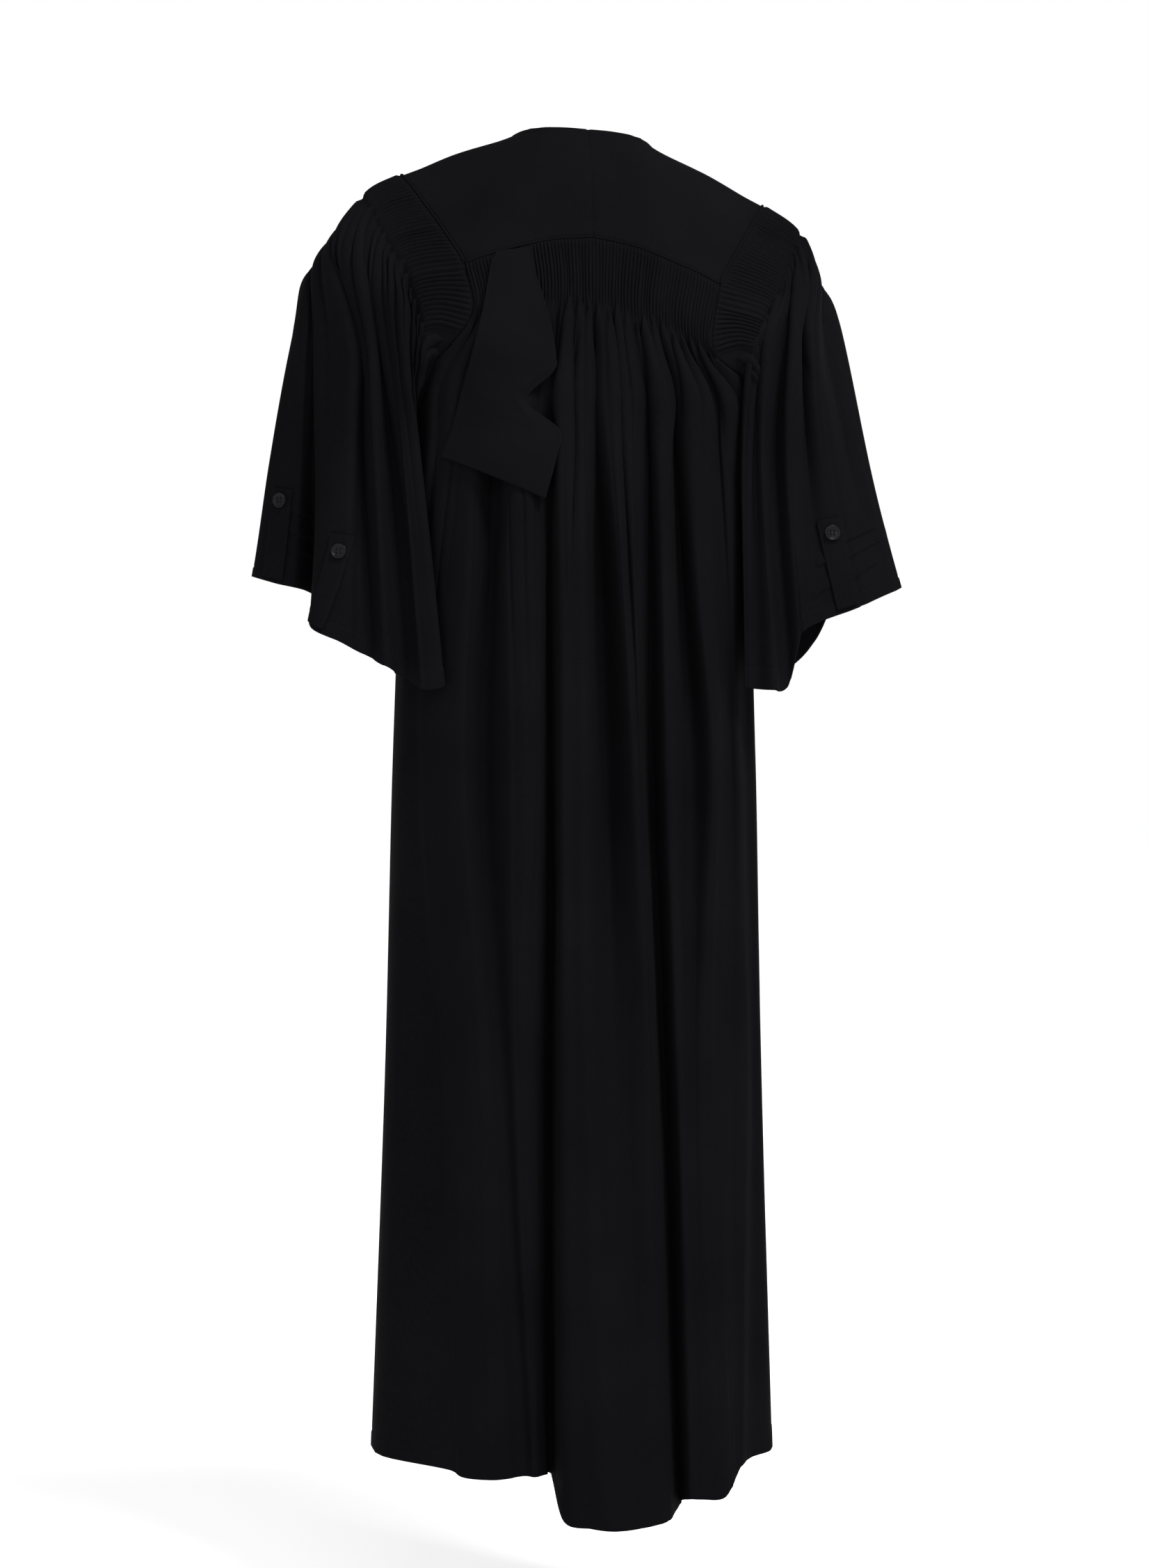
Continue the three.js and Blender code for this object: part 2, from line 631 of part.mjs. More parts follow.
function sideSeam(side) {
  const sign = side === "left" ? 1 : -1;
  return [...FOLD_HEIGHTS.slice(1), SIDE_HEM].map((z) => (
    new THREE.Vector3(sign * readTable(BODY, "z", z, (row) => row[side]), 0, z)));
}

function backSheet() {
  const edge = yokeBackEdge();
  const topEdge = (share) => pastSeam(edge.at(share));
  const top = (share) => topEdge(share).place;
  const [bandPlace, chestPlace, armPlace] = BACK_ARMHOLE;
  const sideLine = (side, share) => {
    const bandZ = readTable(BAND_HEM, "share", share, (row) => row.z);
    const armhole = [{ ...bandPlace, z: bandZ }, chestPlace, armPlace].map(
      ({ x, y, z }) => onSide(side, new THREE.Vector3(x, y, z)));
    return { share, places: [top(share), ...armhole, ...sideSeam(side)] };
  };
  const chest = FOLD_HEIGHTS[0];
  const underarm = (armPlace.z - chest) / (FOLD_HEIGHTS[1] - chest);
  const foldLine = (fold) => {
    const share = 0.5 - fold.x[0] / (2 * chestPlace.x);
    const x = [fold.x[0], between(fold.x[0], fold.x[1], underarm), ...fold.x.slice(1)];
    const out = [fold.out[0], between(fold.out[0], fold.out[1], underarm), ...fold.out.slice(1)];
    const heights = [chest, armPlace.z, ...FOLD_HEIGHTS.slice(1), fold.hem];
    const bandZ = readTable(BAND_HEM, "share", share, (row) => row.z);
    const bandX = BAND_HALF_WIDTH * (1 - 2 * share);
    const band = new THREE.Vector3(bandX, bodyDepth(bandX, bandZ, "back"), bandZ);
    const body = heights.map((z, index) => (
      new THREE.Vector3(x[index], bodyDepth(x[index], z, "back") + out[index], z)));
    return { share, places: [top(share), band, ...body] };
  };
  const lines = [sideLine("left", 0), ...BACK_FOLDS.map(foldLine), sideLine("right", 1)];
  return { sheet: new Sheet(lines, { topEdge, sideSeams: [0, 1] }), edge };
}

function backPanel({ sheet, edge }) {
  const evenShares = Array.from({ length: 2 * BACK_FLUTES + 1 }, (_, i) => i / (2 * BACK_FLUTES));
  const fluteShares = snapToCorners(evenShares, edge);
  const rises = new Map(fluteShares.map((share, index) => [share, index % 2 ? FLUTE_RISE : 0]));
  const fluteRise = (share) => rises.get(share);
  const foldShares = sheet.columns(BACK_COLUMNS_PER_FOLD);
  const outer = [
    ...BAND_LEVELS.map((level) => rowOf(sheet, level, fluteShares, fluteRise)),
    ...BACK_LEVELS.map((level) => rowOf(sheet, level, foldShares, () => 0)),
  ];
  const inner = [...BAND_LEVELS, ...BACK_LEVELS].map(
    (level) => rowOf(sheet, level, level === 0 ? fluteShares : foldShares, () => -CLOTH));
  return wall(outer, inner);
}

// The front corner edge of the yoke, from the wearer's left to right.
function frontTopEdge(side) {
  const levels = levelsOf(0, yoke.levels, YOKE_COLUMNS / yoke.levels);
  const points = levels.map((level) => sideEdgePoint(yoke, 0, level));
  return new Edge(side === "left" ? points : points.map(mirrorEdge));
}

// A front is drawn from its side seam to its free edge on the wearer's right, and the other way
// round on the left, so that its outward side is always away from the body.
function frontSheet(side) {
  const sign = side === "left" ? 1 : -1;
  const edge = frontTopEdge(side);
  const topEdge = (fromEdge) => pastSeam(edge.at(fromEdge));
  const armhole = FRONT_ARMHOLE.map(({ x, y, z }) => onSide(side, new THREE.Vector3(x, y, z)));
  const { x: armX, y: armY, z: armZ } = BACK_ARMHOLE[2];
  const sideLine = [
    topEdge(1).place,
    ...armhole,
    ...[onSide(side, new THREE.Vector3(armX, armY, armZ)), ...sideSeam(side)].map(
      (place) => place.clone().setY(place.y - SEAM_GAP)),
  ];
  const heights = [-150, -215, armZ, ...FOLD_HEIGHTS.slice(1), FRONT_HEM];
  const lines = FRONT_FOLDS.map(({ name, share: fromEdge, out }) => {
    const below = heights.map((height, level) => {
      const outside = sideLine[level + 1];
      const z = between(height, outside.z, fromEdge);
      const x = between(sign * FRONT_EDGE[level], outside.x, fromEdge);
      const fold = out * Math.min(1, level / UNDERARM_LEVEL);
      return new THREE.Vector3(x, -bodyDepth(x, z, "front") - fold, z);
    });
    const places = name === "side seam" ? sideLine : [topEdge(fromEdge).place, ...below];
    return { share: fromEdge, places };
  });
  if (side === "left") {
    return new Sheet(lines, { topEdge, sideSeams: [1], sideSeamY: -SEAM_GAP });
  }
  const turnedLines = [...lines].reverse().map((line) => ({ ...line, share: 1 - line.share }));
  return new Sheet(turnedLines, {
    topEdge: (share) => topEdge(1 - share), sideSeams: [0], sideSeamY: -SEAM_GAP,
  });
}

// The armhole of one side as one closed edge, from the shoulder tip down the back and up the front.
function armholeEdge(side, back, front) {
  const tip = yokeShares.findIndex((share) => share >= TIP_SHARE - 1e-6);
  const corner = yokeShares.findIndex((share) => share >= CORNER_SHARE - 1e-6);
  const ofYoke = (from, to) => {
    const points = yokeOuter.slice(from, to);
    return side === "left" ? points : points.map(mirrorEdge);
  };
  const backSide = side === "left" ? 0 : 1;
  const ofBack = ARMHOLE_LEVELS.map((level) => sideEdgePoint(back, backSide, level));
  const ofFront = ARMHOLE_LEVELS.map((level) => sideEdgePoint(front, 1 - backSide, level));
  return new Edge([
    ...ofYoke(tip, corner + 1),
    ...ofBack,
    ...ofFront.reverse(),
    ...ofYoke(0, tip + 1),
  ]);
}

// A sleeve is a tube. Its levels are the armhole, the end of its fluted band, its crown, the upper
// arm, the elbow and the hem. The right one is drawn mirrored and turned over afterwards.
function sleeveSheet(side, back, front) {
  const edge = armholeEdge(side, back, front);
  const toOwnSide = (point) => (side === "left" ? point : mirrorEdge(point));
  const roundArm = (table, column, share) => new THREE.Vector3(...[0, 1, 2].map(
    (axis) => readTable(table, "share", share, (row) => row[column][axis])));
  const reach = (share) => roundArm(SLEEVE_BAND, "reach", share);
  const topEdge = (share) => {
    const around = share - Math.floor(share);
    const point = toOwnSide(edge.at(around));
    const direction = reach(around).normalize().add(point.away).normalize();
    return pastSeam(point, SLEEVE_GAP, direction);
  };
  const hanging = (place) => onSide(side, beforeLean(onSide(side, vector(place))));
  const lines = SLEEVE_FOLDS[side].map(({ share, upper, elbow, hem }) => {
    const start = topEdge(share).place;
    const bandEnd = start.clone().add(reach(share));
    const push = roundArm(SLEEVE_CROWN, "push", share).multiplyScalar(CROWN_FULLNESS[side]);
    const crown = bandEnd.clone().lerp(hanging(upper), CROWN_WAY).add(push);
    return { share, places: [start, bandEnd, crown, ...[upper, elbow, hem].map(hanging)] };
  });
  return { sheet: new Sheet(lines, { closed: true, topEdge }), edge };
}

function sleevePanel({ sheet, edge }, side) {
  const stepsFrom = (start, end, count) => Array.from(
    { length: count }, (_, index) => between(start, end, index / count));
  const bandShares = snapToCorners([
    ...stepsFrom(SLEEVE_FLUTES_TO, SLEEVE_FLUTES_FROM, PLAIN_BAND_COLUMNS),
    ...stepsFrom(SLEEVE_FLUTES_FROM, 1 + SLEEVE_FLUTES_TO, 2 * SLEEVE_FLUTES),
  ], edge);
  const rises = new Map(bandShares.map((share, index) => (
    [share, (index - PLAIN_BAND_COLUMNS) % 2 === 1 ? FLUTE_RISE : 0])));
  const foldShares = sheet.columns(SLEEVE_COLUMNS_PER_FOLD)
    .map((share) => (share < SLEEVE_FLUTES_TO ? share + 1 : share))
    .sort((a, b) => a - b);
  const outer = [
    ...BAND_LEVELS.map((level) => rowOf(sheet, level, bandShares, (share) => rises.get(share))),
    ...SLEEVE_LEVELS.map((level) => rowOf(sheet, level, foldShares, () => 0)),
  ];
  const inner = [...BAND_LEVELS, ...SLEEVE_LEVELS].map(
    (level) => rowOf(sheet, level, level === 0 ? bandShares : foldShares, () => -CLOTH));
  return wall(outer, inner, { closed: true, side });
}

// The flap lies on the back, a little clear of its ridges.
function flapSheet() {
  const lines = Array.from({ length: FLAP_LINES }, (_, index) => {
    const share = index / (FLAP_LINES - 1);
    const bulge = 4 * share * (1 - share);
    const places = FLAP.map(({ left, right, out, middle }) => {
      const x = between(left[0], right[0], share);
      const z = between(left[1], right[1], share);
      const flat = between(out[0], out[1], share);
      const stand = flat + bulge * (middle - (out[0] + out[1]) / 2);
      const place = beforeLean(new THREE.Vector3(x, 0, z));
      return place.setY(bodyDepth(x, place.z, "back") + stand);
    });
    return { share, places };
  });
  return new Sheet(lines);
}

function strapShare(strap, level) {
  return between(strap.share, strap.hemShare, (level - strap.top) / (STRAP_HEM - strap.top));
}

// A strap is a strip of the sleeve's own surface, moved out.
function strapWall(sheet, strap) {
  const levels = Array.from({ length: STRAP_ROWS }, (_, index) => (
    between(strap.top, STRAP_HEM, index / (STRAP_ROWS - 1))));
  const shares = Array.from({ length: STRAP_COLUMNS }, (_, index) => index / (STRAP_COLUMNS - 1));
  const rows = (rise) => levels.map((level) => {
    const middle = strapShare(strap, level);
    const width = sheet.place(middle + ACROSS_STEP, level)
      .distanceTo(sheet.place(middle - ACROSS_STEP, level));
    const reach = STRAP_WIDTH * ACROSS_STEP / width;
    const places = shares.map((share) => (
      sheet.raised(middle + reach * (2 * share - 1), level, rise)));
    return { level, shares, places };
  });
  return wall(rows(STRAP_CLEAR + STRAP_CLOTH), rows(STRAP_CLEAR), { side: strap.side });
}

// A four-hole button, lying in the XY plane with its face to +Z.
function buttonGeometry() {
  const ring = (x, y, radius, sides) => Array.from({ length: sides }, (_, index) => {
    const turn = 2 * Math.PI * index / sides;
    return new THREE.Vector2(x + radius * Math.cos(turn), y + radius * Math.sin(turn));
  });
  const face = new THREE.Shape(ring(0, 0, BUTTON_RADIUS, BUTTON_SIDES));
  for (const [x, y] of [[1, 1], [-1, 1], [-1, -1], [1, -1]]) {
    const [holeX, holeY] = [x * BUTTON_HOLE_REACH, y * BUTTON_HOLE_REACH];
    face.holes.push(new THREE.Path(ring(holeX, holeY, BUTTON_HOLE_RADIUS, BUTTON_HOLE_SIDES)));
  }
  return new THREE.ExtrudeGeometry(face, { depth: BUTTON_THICK, bevelEnabled: false });
}

function addButton(strap, sheet) {
  const level = strap.top + BUTTON_BELOW_TOP;
  const share = strapShare(strap, level);
  const rise = STRAP_CLEAR + STRAP_CLOTH + BUTTON_CLEAR;
  const place = lean(onSide(strap.side, sheet.raised(share, level, rise)));
  const outward = onSide(strap.side, sheet.directions(share, level).outward);
  const mesh = add(`button_${strap.name}`, buttonGeometry(), COLOURS.button);
  mesh.position.copy(place);
  mesh.quaternion.setFromUnitVectors(new THREE.Vector3(0, 0, 1), outward);
}

const gown = new THREE.Group();
gown.name = "barrister_gown";

function add(name, geometry, look = COLOURS.cloth) {
  const mesh = new THREE.Mesh(geometry, new THREE.MeshStandardMaterial(look));
  mesh.name = name;
  gown.add(mesh);
  return mesh;
}

const back = backSheet();
const sleeves = {};
add("yoke_left", yokeHalf("left"));
add("yoke_right", yokeHalf("right"));
add("back", backPanel(back));
for (const side of ["left", "right"]) {
  const front = frontSheet(side);
  add(`front_${side}`, plainWall(front, FRONT_LEVELS, front.columns(FRONT_COLUMNS_PER_FOLD)));
  sleeves[side] = sleeveSheet(side, back.sheet, front);
  add(`sleeve_${side}`, sleevePanel(sleeves[side], side));
}

const flap = flapSheet();
const flapLevels = levelsOf(0, flap.levels, FLAP_ROWS_PER_STEP);
add("hood_flap", plainWall(flap, flapLevels, flap.columns(FLAP_COLUMNS_PER_LINE)));
for (const strap of STRAPS) {
  const { sheet } = sleeves[strap.side];
  add(`strap_${strap.name}`, strapWall(sheet, strap));
  addButton(strap, sheet);
}

export default gown;
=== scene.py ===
# %% [markdown]
# A barrister's gown in black stuff, a plain worsted cloth, seen from behind. It is worn and hollow.
# A yoke in two halves carries a back and two sleeves whose cloth is drawn up into fine flutes.
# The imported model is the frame: each large piece here takes the place of one of its named nodes,
# so the sizes are never fitted by eye. Blender works in metres, and the tables below are in
# millimetres, as a cutter writes them. +Z is up, +X is the wearer's left, -Y the wearer's front.
# %% Load the frame
import json
import math
from collections import namedtuple
import bpy
import numpy as np
from mathutils import Matrix, Vector

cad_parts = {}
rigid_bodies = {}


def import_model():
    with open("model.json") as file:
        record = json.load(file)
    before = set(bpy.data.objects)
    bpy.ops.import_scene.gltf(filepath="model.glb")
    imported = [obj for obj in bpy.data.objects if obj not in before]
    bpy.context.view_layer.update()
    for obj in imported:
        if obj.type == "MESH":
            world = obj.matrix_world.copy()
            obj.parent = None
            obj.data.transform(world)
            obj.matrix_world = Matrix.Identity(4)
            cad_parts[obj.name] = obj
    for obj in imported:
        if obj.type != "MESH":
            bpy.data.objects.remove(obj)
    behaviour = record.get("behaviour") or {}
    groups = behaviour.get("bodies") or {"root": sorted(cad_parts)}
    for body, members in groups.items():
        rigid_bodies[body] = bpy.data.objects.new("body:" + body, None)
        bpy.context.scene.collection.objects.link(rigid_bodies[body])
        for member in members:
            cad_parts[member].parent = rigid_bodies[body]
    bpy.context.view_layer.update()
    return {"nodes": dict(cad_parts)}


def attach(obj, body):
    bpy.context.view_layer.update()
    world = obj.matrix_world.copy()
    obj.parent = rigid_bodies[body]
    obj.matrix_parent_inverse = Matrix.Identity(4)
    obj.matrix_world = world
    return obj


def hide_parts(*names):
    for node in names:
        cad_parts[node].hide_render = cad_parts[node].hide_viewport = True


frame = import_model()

METRES = 0.001
print("nodes:", sorted(frame["nodes"]))

# %% [markdown]
# The camera stands behind the gown, a little to the wearer's left, level with the middle of the
# picture. Its lens follows from the height that the picture shows at the gown's own distance.
# %% Camera
CAMERA_TURN = 175
CAMERA_DISTANCE = 3.2
CAMERA_HEIGHT = -0.6
PICTURE_HEIGHT = 1.51018
SIDE_STEP = 0.0074
FILM_HEIGHT = 36

camera_turn = math.radians(CAMERA_TURN)
towards_camera = Vector((math.sin(camera_turn), -math.cos(camera_turn), 0))
picture_right = Vector((math.cos(camera_turn), math.sin(camera_turn), 0))
camera_place = towards_camera * CAMERA_DISTANCE - picture_right * SIDE_STEP
camera_place.z = CAMERA_HEIGHT
bpy.ops.object.camera_add(location=camera_place, rotation=(math.radians(90), 0, camera_turn))
camera = bpy.context.object
camera.name = "camera"
camera.data.sensor_fit = "VERTICAL"
camera.data.sensor_height = FILM_HEIGHT
camera.data.lens = FILM_HEIGHT * CAMERA_DISTANCE / PICTURE_HEIGHT
bpy.context.scene.camera = camera
print("camera at", tuple(round(value, 3) for value in camera_place))

# %% [markdown]
# The stage is a wide pale floor under the gown, in a room with bright walls and a dim ceiling.
# The floor glows a little, more so outside the pool of the lamps, so that it is evenly pale.
# Black cloth shows its folds only by soft light that grazes them, so the lamps are large: one high
# on the picture's right, a weaker one on its left, and one behind the camera. The standard view
# keeps black cloth black. The small helpers for nodes serve every material further down too.
# %% Floor, room and lamps
FLOOR_HEIGHT = -1.42
FLOOR_RADIUS = 40
FLOOR_CORNERS = 128
WALL_LIGHT = 1.0
CEILING_LIGHT = 0.15
CEILING_STARTS = 0.3
CEILING_FULL = 0.5
POOL_EDGE = 0.8
POOL_END = 2.0
POOL_GLOW = 0.6
FLOOR_GLOW = 0.8
WHITE = (1, 1, 1, 1)
LAMPS_FACE = Vector((0, 0, -0.5))


def set_inputs(node, values):
    for name, value in values.items():
        node.inputs[name].default_value = value


def new_material(name, constants):
    """A material whose shader has these constants, with its nodes, links and shader."""
    material = bpy.data.materials.new(name)
    material.use_nodes = True
    nodes, links = material.node_tree.nodes, material.node_tree.links
    shader = nodes["Principled BSDF"]
    set_inputs(shader, constants)
    return material, nodes, links, shader


def math_node(nodes, links, operation, first, second=None):
    node = nodes.new("ShaderNodeMath")
    node.operation = operation
    for socket, value in zip(node.inputs, (first, second)):
        if hasattr(value, "is_output"):
            links.new(value, socket)
        elif value is not None:
            socket.default_value = value
    return node.outputs["Value"]


def range_node(nodes, links, value, read, give, way="LINEAR"):
    """Turns a value between the two numbers of read into one between the two of give."""
    node = nodes.new("ShaderNodeMapRange")
    node.interpolation_type = way
    set_inputs(node, {"From Min": read[0], "From Max": read[1], "To Min": give[0], "To Max": give[1]})
    links.new(value, node.inputs["Value"])
    return node.outputs["Result"]


pale_floor, nodes, links, shader = new_material("pale_floor", {
    "Base Color": (0.86, 0.86, 0.86, 1), "Roughness": 0.9, "Emission Color": WHITE})
from_middle = nodes.new("ShaderNodeVectorMath")
from_middle.operation = "LENGTH"
links.new(nodes.new("ShaderNodeTexCoord").outputs["Object"], from_middle.inputs[0])
floor_glow = range_node(
    nodes, links, from_middle.outputs["Value"],
    (POOL_EDGE, POOL_END), (POOL_GLOW, FLOOR_GLOW), "SMOOTHSTEP")
links.new(floor_glow, shader.inputs["Emission Strength"])
bpy.ops.mesh.primitive_circle_add(
    vertices=FLOOR_CORNERS, radius=FLOOR_RADIUS, fill_type="NGON", location=(0, 0, FLOOR_HEIGHT))
floor = bpy.context.object
floor.name = "floor"
floor.data.materials.append(pale_floor)

room = bpy.data.worlds.new("pale_room")
room.use_nodes = True
nodes, links = room.node_tree.nodes, room.node_tree.links
upwards = nodes.new("ShaderNodeSeparateXYZ")
links.new(nodes.new("ShaderNodeTexCoord").outputs["Generated"], upwards.inputs["Vector"])
height_above = math_node(nodes, links, "ABSOLUTE", upwards.outputs["Z"])
room_light = range_node(
    nodes, links, height_above,
    (CEILING_STARTS, CEILING_FULL), (WALL_LIGHT, CEILING_LIGHT), "SMOOTHSTEP")
links.new(room_light, nodes["Background"].inputs["Strength"])
set_inputs(nodes["Background"], {"Color": WHITE})
bpy.context.scene.world = room
bpy.context.scene.view_settings.view_transform = "Standard"


def add_lamp(name, turn, height, distance, size, power):
    """A square soft lamp that faces the middle of the gown, turned from the camera's side."""
    angle = camera_turn + math.radians(turn)
    away = Vector((math.sin(angle), -math.cos(angle), 0)) * distance
    place = Vector((away.x, away.y, height))
    facing = (LAMPS_FACE - place).to_track_quat("-Z", "Y").to_euler()
    bpy.ops.object.light_add(type="AREA", location=place, rotation=facing)
    lamp = bpy.context.object
    lamp.name = name
    lamp.data.size = size
    lamp.data.energy = power


add_lamp("lamp_high_right", turn=36, height=2.6, distance=2.4, size=1.2, power=205)
add_lamp("lamp_left", turn=-50, height=1.2, distance=3.0, size=1.8, power=15)
add_lamp("lamp_behind_camera", turn=4, height=1.4, distance=4.2, size=2.0, power=55)

# %% [markdown]
# Cloth hangs in smooth folds, so it is drawn through fold lines: each line is written down as a
# few places from the seam to the hem, and a smooth curve passes through them, down the cloth and
# then across it. This is quicker to read and to correct than thousands of loose points, and the
# result is exact where the seams meet. A cloth simulation would not give the measured folds.
# %% Smooth cloth through fold lines
TOP_BLEND = 0.5
ACROSS_STEP = 0.004
DOWN_STEP = 0.02


def unit(directions):
    return directions / np.linalg.norm(directions, axis=-1, keepdims=True)


def curve_weights(positions, count, closed=False):
    """What each of count places adds to a smooth curve at each position."""
    positions = np.asarray(positions, float)
    last = count if closed else count - 1
    index = np.clip(np.floor(positions).astype(int), 0, last - 1)
    part = positions - index
    shares = (
        0.5 * (-part + 2 * part**2 - part**3),
        0.5 * (2 - 5 * part**2 + 3 * part**3),
        0.5 * (part + 4 * part**2 - 3 * part**3),
        0.5 * (part**3 - part**2),
    )
    weights = np.zeros((len(positions), count))
    rows = np.arange(len(positions))
    for step, share in zip((-1, 0, 1, 2), shares):
        wanted = index + step
        if closed:
            np.add.at(weights, (rows, wanted % count), share)
            continue
        inside = np.clip(wanted, 0, count - 1)
        past = wanted != inside
        opposite = np.where(wanted < 0, 1, count - 2)
        np.add.at(weights, (rows, inside), np.where(past, 2 * share, share))
        np.add.at(weights, (rows, opposite), np.where(past, -share, 0))
    return weights


class FoldedCloth:
    """Cloth through fold lines: a share across for each line, and a place at each level down."""

    def __init__(self, shares, lines, closed=False, top=None):
        self.shares = np.array(shares, float)
        self.lines = np.array(lines, float)
        self.closed = closed
        self.top = top
        self.levels = self.lines.shape[1] - 1

    def drawn(self, across, down):
        count = len(self.shares)
        if self.closed:
            at = np.interp(np.mod(across, 1), np.append(self.shares, 1), np.arange(count + 1))
        else:
            at = np.interp(across, self.shares, np.arange(count))
        sideways = curve_weights(at, count, self.closed)
        downwards = curve_weights(down, self.levels + 1)
        return np.einsum("ul,vk,lkc->vuc", sideways, downwards, self.lines)

    def places(self, across, down):
        """A grid of places, a row for each level in down and a column for each share."""
        grid = self.drawn(across, down)
        if self.top is not None:
            moved = self.top(across) - self.drawn(across, [0])[0]
            fade = np.clip(1 - np.asarray(down) / TOP_BLEND, 0, 1) ** 2
            grid = grid + fade[:, None, None] * moved
        return grid

    def outward(self, across, down):
        """The direction that points away from the wearer at each place of the grid."""
        before, after = across - ACROSS_STEP, across + ACROSS_STEP
        if not self.closed:
            before, after = np.maximum(before, 0), np.minimum(after, 1)
        above = np.maximum(down - DOWN_STEP, 0)
        below = np.minimum(down + DOWN_STEP, self.levels)
        along = self.places(after, down) - self.places(before, down)
        fall = self.places(across, below) - self.places(across, above)
        return unit(np.cross(fall, along))


def lengths_along(points):
    """How far along a line of points each of them is."""
    return np.concatenate([[0], np.cumsum(np.linalg.norm(np.diff(points, axis=0), axis=1))])


def read_line(at, marks, points):
    """The places on a line of points at the values in at, where each point has a mark."""
    return np.stack([np.interp(at, marks, points[:, axis]) for axis in range(3)], axis=-1)


def edge_reader(points):
    """Reads an edge by the share of its length."""
    lengths = lengths_along(points)
    shares = lengths / lengths[-1]
    return lambda share: read_line(share, shares, points)


# %% [markdown]
# The wearer stands a little unevenly: the left shoulder is higher. The tables are written for a
# level gown, and this lean is added to every place at the very end, fading out at the hips.
# %% Lean and plain body
LEAN = 0.07
LEAN_FULL_ABOVE = -130
LEAN_NONE_BELOW = -450
ROUNDNESS = 2.3
SIDES = ("left", "right")
LEFT_TO_RIGHT = np.array([-1, 1, 1])

BodyHeight = namedtuple("BodyHeight", "z left right back front")
BODY = [
    BodyHeight(-60, 300, 300, 114, 92),
    BodyHeight(-92, 286, 286, 119, 100),
    BodyHeight(-165, 246, 246, 121, 108),
    BodyHeight(-232, 176, 172, 121, 112),
    BodyHeight(-285, 173, 164, 121, 114),
    BodyHeight(-414, 176, 163, 122, 116),
    BodyHeight(-595, 183, 169, 124, 118),
    BodyHeight(-880, 190, 174, 128, 121),
    BodyHeight(-1290, 205, 186, 133, 125),
]


def mirror_for(side):
    """What turns a place on the wearer's left into one on the given side."""
    return np.array([1, 1, 1]) if side == "left" else LEFT_TO_RIGHT


def lean(points):
    share = np.clip(
        (points[..., 2] - LEAN_NONE_BELOW) / (LEAN_FULL_ABOVE - LEAN_NONE_BELOW), 0, 1)
    leaned = points.copy()
    leaned[..., 2] += LEAN * share * points[..., 0]
    return leaned


def before_lean(points):
    """The places that lean to where the tables say that the cloth hangs."""
    level = points.copy()
    for _ in range(4):
        level[..., 2] += points[..., 2] - lean(level)[..., 2]
    return level


def body_column(column, z):
    return np.interp(-z, [-row.z for row in BODY], [getattr(row, column) for row in BODY])


def body_depth(x, z, face):
    """How far the plain body stands behind or before the middle."""
    x, z = np.asarray(x, float), np.asarray(z, float)
    half_width = np.where(x >= 0, body_column("left", z), body_column("right", z))
    across = np.minimum(1, np.abs(x) / half_width)
    return body_column(face, z) * (1 - across**ROUNDNESS) ** (1 / ROUNDNESS)


# %% [markdown]
# Real cloth is never quite smooth. Small creases come from soft noise: random heights on a coarse
# net, joined smoothly. The net is stretched down the cloth, because creases in hanging cloth run
# downwards. A layer of noise has a height, a number of cells across the cloth, a pitch down it in
# millimetres, and its own fixed seed, so that the gown is the same each time.
# %% Soft noise for creases
NOISE_ROWS = 48
Noise = namedtuple("Noise", "height cells pitch seed")


def ease(value, start, end):
    """Rises smoothly from 0 at start to 1 at end."""
    share = np.clip((value - start) / (end - start), 0, 1)
    return share * share * (3 - 2 * share)


def soft_noise(noise, across, down, closed=False):
    """Heights from -1 to 1, before the layer's own height is used."""
    cells = noise.cells
    net = np.random.default_rng(noise.seed).uniform(-1, 1, (NOISE_ROWS, cells + 2))
    x, y = np.asarray(across) * cells, np.asarray(down) / noise.pitch + 3
    left, top = np.floor(x).astype(int), np.floor(y).astype(int)
    across_share, down_share = ease(x - left, 0, 1), ease(y - top, 0, 1)

    def height(row, column):
        column = column % cells if closed else np.clip(column, 0, cells + 1)
        return net[row % NOISE_ROWS, column]

    upper = height(top, left) * (1 - across_share) + height(top, left + 1) * across_share
    lower = height(top + 1, left) * (1 - across_share) + height(top + 1, left + 1) * across_share
    return upper * (1 - down_share) + lower * down_share


def noise_layer(noise, across, down, closed=False):
    return noise.height * soft_noise(noise, across, down, closed)


def crease_lines(noise, across, down, closed=False):
    """Narrow lines from 0 to 1 that wander down the cloth, where it is folded in."""
    return (1 - np.abs(soft_noise(noise, across, down, closed))) ** 5


# %% [markdown]
# A piece of cloth is a closed wall, as in the frame: an outer face with all the detail, a plainer
# inner face one cloth thickness behind it, and rims where they meet. Each row of places knows its
# flat size, so that the weave follows the cloth and keeps its real scale round every fold.
# %% Build a wall of cloth
CLOTH = 1.1
Row = namedtuple("Row", "ids along flat")


class Rows:
    """A grid of places in a wall, with its ids and flat sizes in metres."""

    def __init__(self, ids, across, down, flat):
        self.ids = ids
        self.across = across
        self.down = down
        self.flat = flat

    def row(self, index):
        return Row(self.ids[index], self.across, self.flat[index])

    def side(self, index):
        return Row(self.ids[:, index], self.down, self.flat[:, index])


def one_side(grids, index):
    sides = [grid.side(index) for grid in grids]
    return Row(*(np.concatenate([getattr(side, part) for side in sides]) for part in Row._fields))


